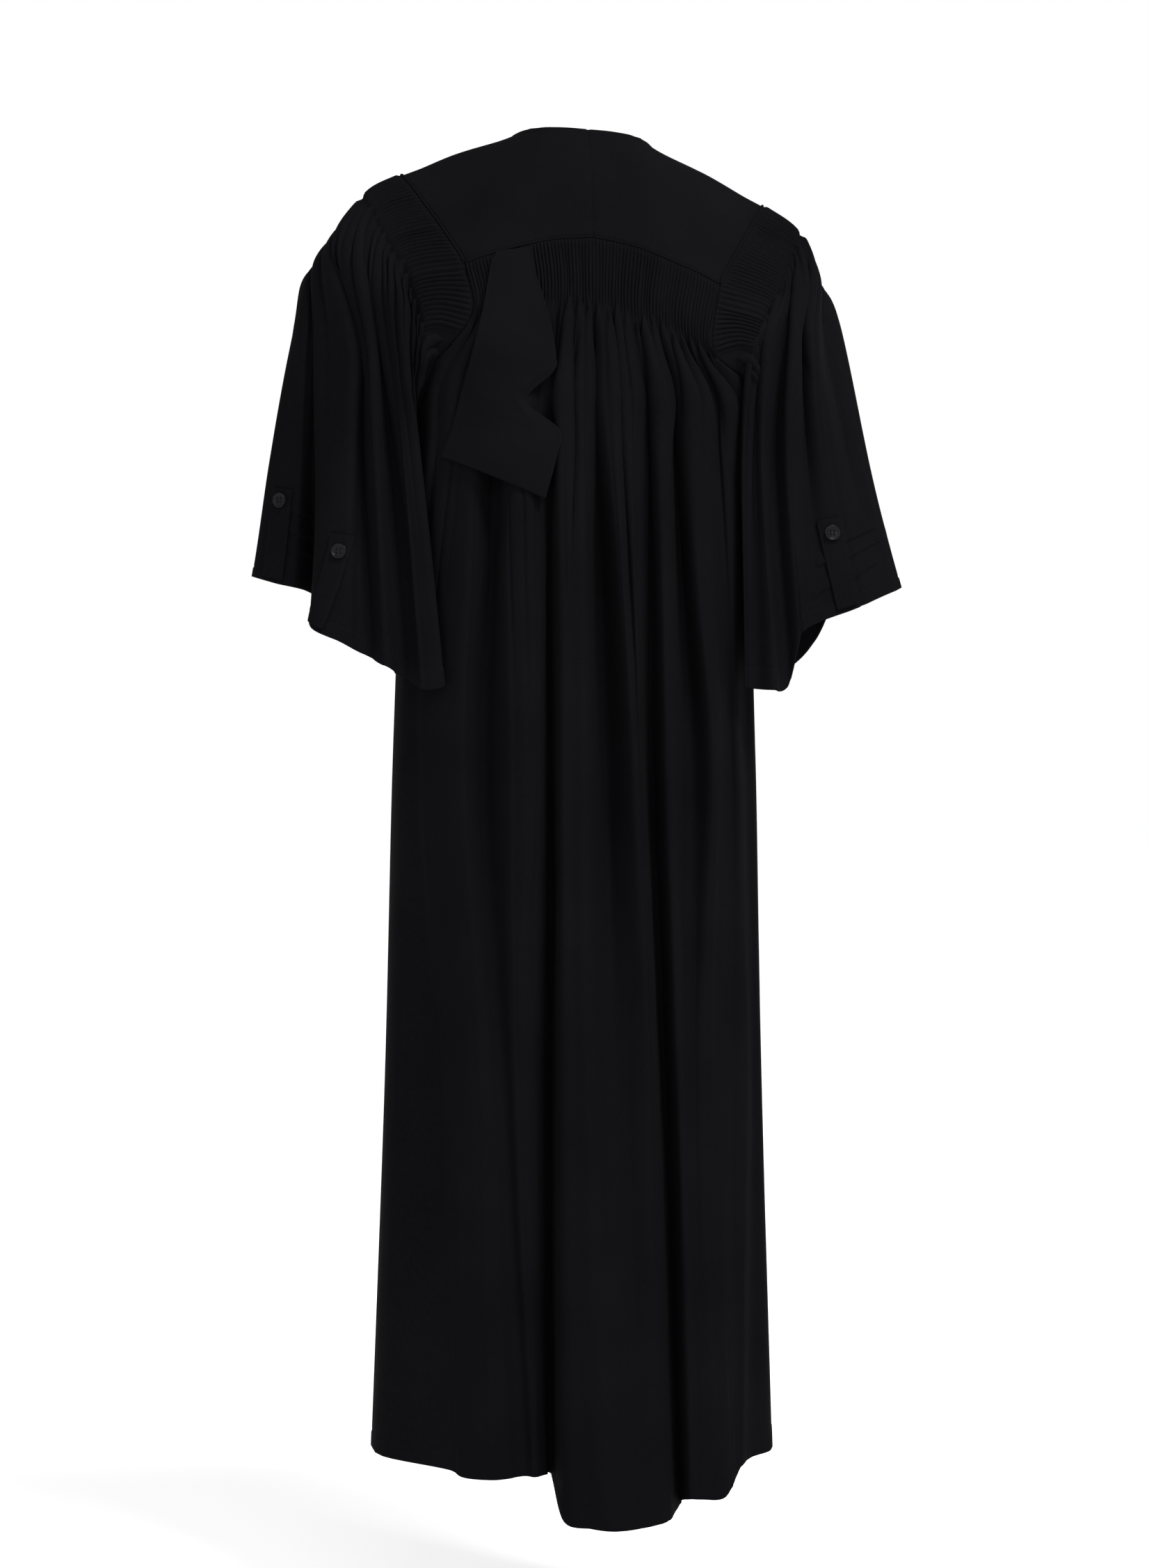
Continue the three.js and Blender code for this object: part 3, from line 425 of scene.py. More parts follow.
class Wall:
    def __init__(self, closed):
        self.closed = closed
        self.places = []
        self.count = 0
        self.faces = []
        self.flats = []

    def add_grid(self, places, across, down, flat_width, flat_down):
        rows, columns = places.shape[:2]
        ids = self.count + np.arange(rows * columns).reshape(rows, columns)
        self.places.append(places.reshape(-1, 3))
        self.count += rows * columns
        if self.closed:
            ids = np.hstack([ids, ids[:, :1]])
            across = np.append(across, across[0] + 1)
        flat = np.stack(np.broadcast_arrays(
            across[None, :] * flat_width * METRES, -flat_down[:, None] * METRES), axis=-1)
        return Rows(ids, across, down, flat)

    def fill(self, grid, inside_out=False):
        corners = [np.s_[:-1, :-1], np.s_[1:, :-1], np.s_[1:, 1:], np.s_[:-1, 1:]]
        if inside_out:
            corners.reverse()
        faces = np.stack([grid.ids[corner] for corner in corners], axis=-1)
        flats = np.stack([grid.flat[corner] for corner in corners], axis=-2)
        self.faces.extend(faces.reshape(-1, 4).tolist())
        self.flats.append(flats.reshape(-1, 2))

    def join(self, above, below):
        """Joins two rows with triangles, whatever number of places each has."""
        i, j = 0, 0
        flats = []
        while i < len(above.ids) - 1 or j < len(below.ids) - 1:
            above_next = above.along[i] + above.along[i + 1] if i < len(above.ids) - 1 else math.inf
            below_next = below.along[j] + below.along[j + 1] if j < len(below.ids) - 1 else math.inf
            if above_next <= below_next:
                self.faces.append([int(above.ids[i]), int(below.ids[j]), int(above.ids[i + 1])])
                flats.extend([above.flat[i], below.flat[j], above.flat[i + 1]])
                i += 1
            else:
                self.faces.append([int(above.ids[i]), int(below.ids[j]), int(below.ids[j + 1])])
                flats.extend([above.flat[i], below.flat[j], below.flat[j + 1]])
                j += 1
        self.flats.append(np.array(flats))

    def mesh(self, name, mirrored=False):
        places = np.concatenate(self.places)
        if mirrored:
            places = places * LEFT_TO_RIGHT
        mesh = bpy.data.meshes.new(name)
        mesh.from_pydata((lean(places) * METRES).tolist(), [], self.faces)
        layer = mesh.uv_layers.new(name="weave")
        layer.data.foreach_set("uv", np.concatenate(self.flats).ravel())
        if mirrored:
            mesh.flip_normals()
        mesh.polygons.foreach_set("use_smooth", np.ones(len(mesh.polygons), bool))
        mesh.update()
        return mesh


def add_piece(name, mesh):
    piece = bpy.data.objects.new(name, mesh)
    bpy.context.scene.collection.objects.link(piece)
    return piece


def cloth_wall(name, cloth, zones, inner, rise, inner_rise, flat_width, depth, mirrored=False):
    """Makes a closed wall. Each zone of the outer face is a pair of shares across and levels."""
    wall = Wall(cloth.closed)

    def grid(across, down, height):
        places = cloth.places(across, down)
        flat_down = depth(down)
        heights = height(across[None, :], down[:, None], flat_down[:, None])
        places = places + cloth.outward(across, down) * heights[..., None]
        return wall.add_grid(places, across, down, flat_width, flat_down)

    outer = [grid(across, down, rise) for across, down in zones]
    inside = grid(*inner, lambda *at: inner_rise(*at) - CLOTH)
    for number, zone in enumerate(outer):
        wall.fill(zone)
        if number > 0:
            wall.join(outer[number - 1].row(-1), zone.row(0))
    wall.fill(inside, inside_out=True)
    wall.join(inside.row(0), outer[0].row(0))
    wall.join(outer[-1].row(-1), inside.row(-1))
    if not cloth.closed:
        wall.join(one_side(outer, 0), inside.side(0))
        wall.join(inside.side(-1), one_side(outer, -1))
    piece = add_piece(name, wall.mesh(name, mirrored))
    print(name, "has", len(piece.data.polygons), "faces")
    return piece


def steps(*ends_and_counts):
    """Joins even steps: start, count, next end, count, next end and so on."""
    parts = []
    start = ends_and_counts[0]
    for count, end in zip(ends_and_counts[1::2], ends_and_counts[2::2]):
        parts.append(np.linspace(start, end, count, endpoint=False))
        start = end
    return np.append(np.concatenate(parts), start)


# %% [markdown]
# Gown stuff is a fine plain weave that has been dyed black. From close by its threads show as a
# tiny checker, and from further off they scatter light softly. The weave is a bump drawn from the
# flat size of the cloth, one thread every 0.6 mm, with slower slubs and a slight change of colour,
# as black dye is never quite even. The specular level and sheen are constants on the shader.
# %% Cloth material
THREAD_PITCH = 0.0006
THREAD_DEPTH = 0.00012
THREAD_BUMP = 0.35
CHECKER_SHARE = 0.4
SLUBS_PER_METRE = (2400, 160, 1)
DYE_PATCHES_PER_METRE = 9
CLOTH_DARK = (0.0024, 0.0024, 0.0029, 1)
CLOTH_LIGHT = (0.0041, 0.0041, 0.0048, 1)
CLOTH_GLOSS = {"Specular IOR Level": 0.004, "Sheen Weight": 0.003, "Sheen Roughness": 0.5}
CLOTH_ROUGHNESS = (0.88, 0.72)
NOISE_MIDDLE = (0.3, 0.7)
GRAIN_DEPTH = 0.0001
GRAIN_BUMP = 0.15


def noise_node(nodes, links, vector, scale, detail):
    node = nodes.new("ShaderNodeTexNoise")
    set_inputs(node, {"Scale": scale, "Detail": detail})
    links.new(vector, node.inputs["Vector"])
    return node.outputs["Fac"]


def bump_node(nodes, links, shader, height, strength, distance):
    bump = nodes.new("ShaderNodeBump")
    set_inputs(bump, {"Strength": strength, "Distance": distance})
    links.new(height, bump.inputs["Height"])
    links.new(bump.outputs["Normal"], shader.inputs["Normal"])


def cloth_material(name, dark, light):
    material, nodes, links, shader = new_material(name, CLOTH_GLOSS)
    place = nodes.new("ShaderNodeTexCoord").outputs["Object"]
    weave_map = nodes.new("ShaderNodeUVMap")
    weave_map.uv_map = "weave"
    split = nodes.new("ShaderNodeSeparateXYZ")
    links.new(weave_map.outputs["UV"], split.inputs["Vector"])
    waves = []
    for axis in "XY":
        turns = math_node(nodes, links, "MULTIPLY", split.outputs[axis], 2 * math.pi / THREAD_PITCH)
        waves.append(math_node(nodes, links, "SINE", turns))
    checker = math_node(nodes, links, "MULTIPLY", *waves)
    slubs = nodes.new("ShaderNodeMapping")
    set_inputs(slubs, {"Scale": SLUBS_PER_METRE})
    links.new(weave_map.outputs["UV"], slubs.inputs["Vector"])
    slub = noise_node(nodes, links, slubs.outputs["Vector"], 1, 2)
    soft_checker = math_node(nodes, links, "MULTIPLY", checker, CHECKER_SHARE)
    threads = math_node(nodes, links, "ADD", soft_checker, slub)
    bump_node(nodes, links, shader, threads, THREAD_BUMP, THREAD_DEPTH)
    patches = noise_node(nodes, links, place, DYE_PATCHES_PER_METRE, 3)
    halves = [math_node(nodes, links, "MULTIPLY", part, 0.5) for part in (patches, slub)]
    dye = math_node(nodes, links, "ADD", *halves)
    colours = nodes.new("ShaderNodeMix")
    colours.data_type = "RGBA"
    colours.inputs[6].default_value = dark
    colours.inputs[7].default_value = light
    links.new(range_node(nodes, links, dye, NOISE_MIDDLE, (0, 1)), colours.inputs[0])
    links.new(colours.outputs[2], shader.inputs["Base Color"])
    links.new(range_node(nodes, links, dye, NOISE_MIDDLE, CLOTH_ROUGHNESS), shader.inputs["Roughness"])
    return material


gown_cloth = cloth_material("gown_cloth", CLOTH_DARK, CLOTH_LIGHT)


def dress(piece, material=gown_cloth):
    """Gives a piece its finish and lets it ride with the gown."""
    piece.data.materials.append(material)
    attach(piece, "root")


def stand_for(piece, node):
    dress(piece)
    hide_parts(node)


def grained_material(name, colour, specular, roughness, grain_size):
    """A plain material with a fine grain in its gloss and its surface."""
    material, nodes, links, shader = new_material(
        name, {"Base Color": colour, "Specular IOR Level": specular})
    place = nodes.new("ShaderNodeTexCoord").outputs["Object"]
    grain = noise_node(nodes, links, place, grain_size, 3)
    links.new(range_node(nodes, links, grain, NOISE_MIDDLE, roughness), shader.inputs["Roughness"])
    bump_node(nodes, links, shader, grain, GRAIN_BUMP, GRAIN_DEPTH)
    return material


sewing_thread = grained_material("sewing_thread", (0.005, 0.005, 0.006, 1), 0.03, (0.6, 0.8), 2500)


# %% [markdown]
# The yoke is cut in two halves that meet in a pressed seam down the middle of the back. Each half
# runs over the shoulder to the front. It is smooth cloth over a firm lining, so it has only a few
# soft dents. Each row of the table is one line from the neck edge to the outer edge.
# %% Yoke halves
YokeLine = namedtuple("YokeLine", "name neck middle outer")
YOKE = [
    YokeLine("front", (66, -82, -48), (99, -90, -84), (135, -100, -120)),
    YokeLine("collar bone", (68, -60, -18), (104, -68, -48), (142, -84, -98)),
    YokeLine("front armhole", (68, -32, 6), (112, -38, -16), (152, -60, -70)),
    YokeLine("shoulder", (66, -4, 17), (120, 0, -4), (174, 5, -30)),
    YokeLine("back armhole", (61, 16, 19), (104, 44, -16), (146, 70, -77)),
    YokeLine("above the corner", (54, 30, 19.4), (90, 69, -31.6), (124.6, 102.8, -113.7)),
    YokeLine("back corner", (52, 34, 19.5), (86, 76, -36), (118.6, 112, -124)),
    YokeLine("beside the corner", (46.4, 40.4, 19.3), (75.6, 82.4, -36), (104, 115.4, -118.8)),
    YokeLine("blade", (38, 50, 19), (60, 92, -36), (82, 117, -111)),
    YokeLine("back", (20, 59, 18.5), (30, 99, -33), (40, 119, -98)),
    YokeLine("centre back", (0, 62, 18), (0, 100, -30), (0, 118, -92)),
]
YOKE_WIDTH = 320
YOKE_DEPTH = 120
YOKE_OUTER_LEVEL = 2
SEAM_DIP = 0.8
NECK_ROLL = 0.9
YOKE_DENTS = Noise(height=0.9, cells=7, pitch=60, seed=11)

yoke = FoldedCloth(np.linspace(0, 1, len(YOKE)), [[row.neck, row.middle, row.outer] for row in YOKE])
yoke_names = [row.name for row in YOKE]
TIP_SHARE = yoke.shares[yoke_names.index("shoulder")]
CORNER_SHARE = yoke.shares[yoke_names.index("back corner")]


def yoke_rise(across, down, depth):
    seam = -SEAM_DIP * (1 - ease(across, 1, 0.985))
    roll = NECK_ROLL * (1 - ease(down, 0.02, 0.1)) * ease(down, -0.05, 0.02)
    dents = noise_layer(YOKE_DENTS, across, depth) * ease(down, 0, 0.4) * ease(down, 2, 1.5)
    return seam + roll + dents * ease(across, 1, 0.93)


for side in SIDES:
    half = cloth_wall(
        f"yoke_{side}_cloth", yoke,
        [(steps(0, 110, 0.96, 14, 1), steps(0, 10, 0.15, 34, 2))],
        (np.linspace(0, 1, 60), np.linspace(0, 2, 20)),
        yoke_rise, lambda across, down, depth: 0 * across * down,
        YOKE_WIDTH, lambda down: np.asarray(down) * YOKE_DEPTH / 2, mirrored=side == "right")
    stand_for(half, f"yoke_{side}")

# %% [markdown]
# The back is one wide panel. Its top is drawn up into about seventy-five fine flutes that are held
# by rows of hidden stitches, and where the stitches end the cloth springs out in small pointed
# gathers. Those flow together into a dozen large folds that reach the hem. The table has one row
# for each large ridge and valley, from the wearer's left to right.
# %% Fold lines of the back
BackFold = namedtuple("BackFold", "name x out hem")
FOLD_HEIGHTS = (-232, -414, -595, -880)
BACK_FOLDS = [
    BackFold("left side", (139.5, 168, 177, 183, 193), (0, 0, 0, 0, 0), -1234),
    BackFold("left side valley", (135, 153, 161, 146, 137), (-5, -7, -6, -4, 0), -1236),
    BackFold("ridge by sleeve", (118, 144, 154, 135, 121), (4, 5, 8, 6, 2), -1242),
    BackFold("left ridge", (104, 116, 123, 105, 93), (8, 10, 12, 10, 6), -1242),
    BackFold("left valley", (87, 93, 99, 83, 65), (-10, -16, -14, -6, -10), -1241),
    BackFold("left blade ridge", (80, 81, 82, 72, 55), (7, 10, 10, 4, -6), -1241),
    BackFold("second of the pair", (57, 53, 52, 54, 44), (7, 10, 10, -4, -20), -1241),
    BackFold("deep dark valley", (37, 42, 40, 37, 37), (-10, -16, -24, -34, -36), -1246),
    BackFold("left of central fold", (30, 32, 33, 33, 30), (8, 12, 14, 12, 14), -1277),
    BackFold("central fold", (19, 20, 20, 16, 6), (-4, 14, 16, 20, 26), -1282),
    BackFold("right of central fold", (12, 7, 6, 4, -16), (8, 12, 12, 18, 30), -1284),
    BackFold("middle valley", (-1, -8, -13, -19, -36), (-12, -22, -20, 2, 24), -1284),
    BackFold("right big ridge", (-12, -24, -34, -47, -56), (8, 12, 12, 12, 20), -1282),
    BackFold("shallow valley", (-23, -33, -41, -53, -66), (-8, 2, 8, 8, 14), -1281),
    BackFold("right twin ridge", (-32, -39, -46, -58, -72), (7, 6, 4, 2, 4), -1279),
    BackFold("right dark valley", (-53, -54, -57, -69, -84), (-12, -18, -20, -24, -26), -1272),
    BackFold("right inner ridge", (-62, -65, -69, -78, -88), (8, 12, 11, 8, 12), -1262),
    BackFold("right inner valley", (-77, -86, -93, -89, -100), (-12, -20, -16, 4, 14), -1263),
    BackFold("right outer ridge", (-92, -100, -114, -107, -121), (8, 11, 10, 8, 12), -1264),
    BackFold("right outer valley", (-111, -121, -131, -131, -135), (-10, -6, -4, 0, 2), -1250),
    BackFold("last ridge", (-124, -135, -142, -149, -143), (2, 4, 4, 2, 0), -1240),
    BackFold("right side valley", (-134, -147, -153, -160, -154), (-4, -5, -6, -6, -12), -1237),
    BackFold("right side", (-139.5, -157, -162, -168, -176), (0, 0, 0, 0, 0), -1235),
]
BandHem = namedtuple("BandHem", "share z")
BAND_HEM = [
    BandHem(0, -170), BandHem(0.12, -163), BandHem(0.3, -151),
    BandHem(0.55, -152), BandHem(0.8, -166), BandHem(1, -187),
]
BAND_HALF_WIDTH = 112
ARMHOLE_CHEST = (142, 84, -215)
ARMHOLE_UNDERARM = (170, 0, -285)
SIDE_HEM = -1233


def yoke_edge(shares):
    return yoke.places(np.asarray(shares, float), np.array([YOKE_OUTER_LEVEL]))[0]


def band_hem(share):
    return np.interp(share, [row.share for row in BAND_HEM], [row.z for row in BAND_HEM])


def side_seam(side):
    heights = np.array([*FOLD_HEIGHTS[1:], SIDE_HEM], float)
    return [(mirror_for(side)[0] * body_column(side, z), 0, z) for z in heights]


def back_side_line(side):
    mirror = mirror_for(side)
    share = SIDES.index(side)
    band = np.array((BAND_HALF_WIDTH, BAND_HALF_WIDTH, band_hem(share))) * mirror
    armhole = [np.array(place) * mirror for place in (ARMHOLE_CHEST, ARMHOLE_UNDERARM)]
    return share, [yoke_lower_edge(share), band, *armhole, *side_seam(side)]


def back_fold_line(fold):
    share = 0.5 - fold.x[0] / (2 * ARMHOLE_CHEST[0])
    underarm = (ARMHOLE_UNDERARM[2] - FOLD_HEIGHTS[0]) / (FOLD_HEIGHTS[1] - FOLD_HEIGHTS[0])
    x = np.insert(np.array(fold.x, float), 1, fold.x[0] + (fold.x[1] - fold.x[0]) * underarm)
    out = np.insert(np.array(fold.out, float), 1, fold.out[0] + (fold.out[1] - fold.out[0]) * underarm)
    heights = np.array([FOLD_HEIGHTS[0], ARMHOLE_UNDERARM[2], *FOLD_HEIGHTS[1:], fold.hem], float)
    hanging = np.stack([x, body_depth(x, heights, "back") + out, heights], axis=-1)
    band_x, band_z = BAND_HALF_WIDTH * (1 - 2 * share), band_hem(share)
    band = (band_x, float(body_depth(band_x, band_z, "back")), band_z)
    return share, [yoke_lower_edge(share), band, *hanging]


left_yoke_edge = yoke_edge(np.linspace(CORNER_SHARE, 1, 60))
yoke_lower_edge = edge_reader(np.concatenate([left_yoke_edge, (left_yoke_edge * LEFT_TO_RIGHT)[-2::-1]]))
back_lines = [back_side_line("left"), *map(back_fold_line, BACK_FOLDS), back_side_line("right")]
back = FoldedCloth(
    [share for share, _ in back_lines], [places for _, places in back_lines], top=yoke_lower_edge)
print("the back has", len(BACK_FOLDS), "large fold lines")

# %% [markdown]
# The small forms of the back are heights above that smooth panel. Flutes are rounded ribs with
# narrow gaps. Gathers are pointed ridges that start where the flutes end. Both are rows of ribs
# with a count, a height and a seed, and no two ribs are quite alike. Creases are soft noise, and
# the hem is turned up and stitched, so it stands out a little.
# %% Flutes, gathers and creases of the back
Ribs = namedtuple("Ribs", "count height seed")
BACK_FLUTES = Ribs(count=75, height=2.9, seed=26)
BACK_GATHERS = Ribs(count=26, height=4.8, seed=28)
BACK_FINE = Noise(height=0.7, cells=62, pitch=150, seed=22)
BACK_BROAD = Noise(height=2.0, cells=21, pitch=300, seed=23)
BACK_SLACK = Noise(height=0.4, cells=30, pitch=40, seed=24)
BACK_CREASES = Noise(height=2.4, cells=36, pitch=420, seed=29)
BACK_CREASE_WANDER = Noise(height=0.006, cells=9, pitch=240, seed=21)
BACK_FLUTE_SWAY = Noise(height=0.0010, cells=14, pitch=90, seed=25)
BACK_GATHER_SHIFT = Noise(height=0.007, cells=26, pitch=400, seed=27)
BACK_FLUTE_COLUMNS = 6
BACK_WIDTH = 900
BACK_DOWN = (0, 55, 129, 182, 311, 492, 777, 1160)
UNEVEN_RIBS = 400
FLUTE_UNEVEN = (0.72, 1.1)
FLUTE_ROUNDNESS = 0.6
FLUTE_AT_SEAM = 0.2
FLUTES_END = 0.94
GATHER_UNEVEN = (0.7, 1.15)
GATHER_TIP = 0.98
GATHER_TIP_UNEVEN = (-0.04, 0.1)
GATHER_TIP_WIDTH = 0.22
HEM_TURN = 15
HEM_STANDS = 0.55
HEM_STITCH_DIP = 0.45


def flutes(ribs, share, down, let_go, strength=1):
    """Rounded ribs, held flat at the seam, that end where the hidden stitches let the cloth go."""
    position = share * ribs.count
    number = np.floor(position).astype(int)
    random = np.random.default_rng(ribs.seed)
    uneven = random.uniform(*FLUTE_UNEVEN, UNEVEN_RIBS)[number % UNEVEN_RIBS]
    height = ribs.height * uneven * np.abs(np.sin(np.pi * position)) ** FLUTE_ROUNDNESS
    opened = FLUTE_AT_SEAM + (1 - FLUTE_AT_SEAM) * ease(down, 0, 0.1)
    return height * strength * opened * (1 - ease(down, FLUTES_END, let_go))


def gather_row(position, down, height, seed):
    """A row of rounded ridges, each narrow where the flutes let it go and full a little below."""
    number = np.floor(position).astype(int)
    random = np.random.default_rng(seed)
    uneven = random.uniform(*GATHER_UNEVEN, UNEVEN_RIBS)[number % UNEVEN_RIBS]
    tip = GATHER_TIP + random.uniform(*GATHER_TIP_UNEVEN, UNEVEN_RIBS)[number % UNEVEN_RIBS]
    width = GATHER_TIP_WIDTH + (1 - GATHER_TIP_WIDTH) * ease(down, tip, tip + 0.3)
    from_middle = np.abs(2 * (position - number) - 1) / width
    ridge = np.sqrt(np.clip(1 - from_middle**2, 0, 1))
    return height * uneven * ease(down, tip - 0.03, tip + 0.14) * ridge


def gathers(ribs, share, down):
    """Small gathers below the flutes, which run together in pairs further down."""
    position = share * ribs.count
    single = gather_row(position, down, ribs.height, ribs.seed) * (1 - ease(down, 1.5, 3.2))
    double = gather_row(position / 2, down, 1.5 * ribs.height, ribs.seed + 100)
    return single + double * ease(down, 1.3, 2.2) * (1 - ease(down, 2.6, 4.8))


def off_seams(across):
    """Falls to 0 at both side edges, so that pieces sewn together stay together."""
    return ease(across, 0, 0.03) * ease(across, 1, 0.97)


def turned_hem(above_hem):
    """The turned hem and the line of stitches that holds it, by the distance above its edge."""
    fold = HEM_STANDS * ease(above_hem, HEM_TURN + 1.5, HEM_TURN - 1.5)
    stitch_line = HEM_STITCH_DIP * np.exp(-(((above_hem - HEM_TURN) / 1.3) ** 2))
    return fold - stitch_line


def depth_reader(depths):
    """Reads how far down the flat cloth each level is."""
    return lambda down: np.interp(down, np.arange(len(depths)), depths)


back_depth = depth_reader(BACK_DOWN)


def back_creases(across, down, depth):
    loose = ease(down, 0.9, 1.7)
    wander = across + noise_layer(BACK_CREASE_WANDER, across, depth)
    fine = noise_layer(BACK_FINE, wander, depth)
    broad = noise_layer(BACK_BROAD, wander, depth)
    slack = noise_layer(BACK_SLACK, wander, depth)
    folds = crease_lines(BACK_CREASES, wander, depth) * (1 - 0.7 * ease(down, 3.5, 5))
    return loose * off_seams(across) * (fine + broad + slack - BACK_CREASES.height * folds)


def back_rise(across, down, depth):
    sway = noise_layer(BACK_FLUTE_SWAY, across, depth)
    fluted = flutes(BACK_FLUTES, across + sway, down, 1.12)
    shifted = across + noise_layer(BACK_GATHER_SHIFT, across, 0 * depth)
    under_flap = ease(across, 0.08, 0.12) * ease(across, 0.36, 0.32) * ease(down, 4, 3.6)
    gathered = gathers(BACK_GATHERS, shifted, down) * (1 - 0.9 * under_flap)
    return fluted + gathered + back_creases(across, down, depth) + turned_hem(BACK_DOWN[-1] - depth)


back_piece = cloth_wall(
    "back_cloth", back,
    [
        (np.linspace(0, 1, BACK_FLUTES.count * BACK_FLUTE_COLUMNS + 1),
         steps(0, 4, 0.15, 12, 1, 22, 2)),
        (np.linspace(0, 1, 400), steps(2.06, 26, 4)),
        (np.linspace(0, 1, 340), steps(4.05, 98, 6.9, 14, 7)),
    ],
    (np.linspace(0, 1, 200), steps(0, 16, 2, 56, 6.9, 4, 7)),
    back_rise, back_creases, BACK_WIDTH, back_depth)
stand_for(back_piece, "back")

# %% [markdown]
# The two fronts hang from the front corners of the yoke and meet the back at the side seams. The
# gown is worn open, so their free edges fall straight. They are plain, with a few soft folds.
# %% Fronts
FrontFold = namedtuple("FrontFold", "name share out")
FRONT_FOLDS = [
    FrontFold("free edge", 0, 0),
    FrontFold("first ridge", 0.2, 6),
    FrontFold("first valley", 0.38, -5),
    FrontFold("second ridge", 0.58, 7),
    FrontFold("second valley", 0.76, -5),
    FrontFold("side ridge", 0.94, 2),
    FrontFold("side seam", 1, 0),
]
FRONT_EDGE = (62, 60, 58, 57, 55, 52, 48)
FRONT_ARMHOLE = [(137, -95, -175), (151, -66, -228)]
FRONT_HEIGHTS = (-150, -215, -285, -414, -595, -880, -1230)
FRONT_WIDTH = 190
FRONT_DOWN = (0, 40, 105, 175, 304, 485, 770, 1120)
FRONT_FINE = Noise(height=0.8, cells=14, pitch=170, seed=31)
FRONT_BROAD = Noise(height=1.6, cells=5, pitch=320, seed=32)
UNDERARM_LEVEL = 3
FRONT_SEAM_STEP = -0.3


def front_cloth(side):
    mirror = mirror_for(side)
    yoke_front = yoke.places(np.array([0.0]), np.linspace(0, YOKE_OUTER_LEVEL, 30))[:, 0]
    top = edge_reader(yoke_front * mirror)
    below = [np.array(ARMHOLE_UNDERARM) * mirror, *side_seam(side)]
    side_line = [
        top(1), *(np.array(place) * mirror for place in FRONT_ARMHOLE),
        *(np.array(place) + (0, FRONT_SEAM_STEP, 0) for place in below),
    ]
    lines = []
    for fold in FRONT_FOLDS[:-1]:
        places = [top(fold.share)]
        for level, height in enumerate(FRONT_HEIGHTS):
            outside = side_line[level + 1]
            z = height + (outside[2] - height) * fold.share
            inside = mirror[0] * FRONT_EDGE[level]
            x = inside + (outside[0] - inside) * fold.share
            out = fold.out * min(1, level / UNDERARM_LEVEL)
            places.append((x, -float(body_depth(x, z, "front")) - out, z))
        lines.append(places)
    lines.append(side_line)
    shares = [fold.share for fold in FRONT_FOLDS]
    if side == "left":
        return FoldedCloth(shares, lines, top=top)
    turned = [1 - share for share in reversed(shares)]
    return FoldedCloth(turned, lines[::-1], top=lambda share: top(1 - np.asarray(share)))


front_depth = depth_reader(FRONT_DOWN)


def front_rise(across, down, depth):
    loose = ease(down, 0, 1.5) * off_seams(across)
    creases = noise_layer(FRONT_FINE, across, depth) + noise_layer(FRONT_BROAD, across, depth)
    return loose * creases + turned_hem(FRONT_DOWN[-1] - depth)


fronts = {side: front_cloth(side) for side in SIDES}
for side, cloth in fronts.items():
    front = cloth_wall(
        f"front_{side}_cloth", cloth,
        [(np.linspace(0, 1, 110), steps(0, 150, 6.9, 14, 7))],
        (np.linspace(0, 1, 56), steps(0, 74, 6.9, 4, 7)),
        front_rise, lambda across, down, depth: front_rise(across, down, depth * 0),
        FRONT_WIDTH, front_depth)
    stand_for(front, f"front_{side}")

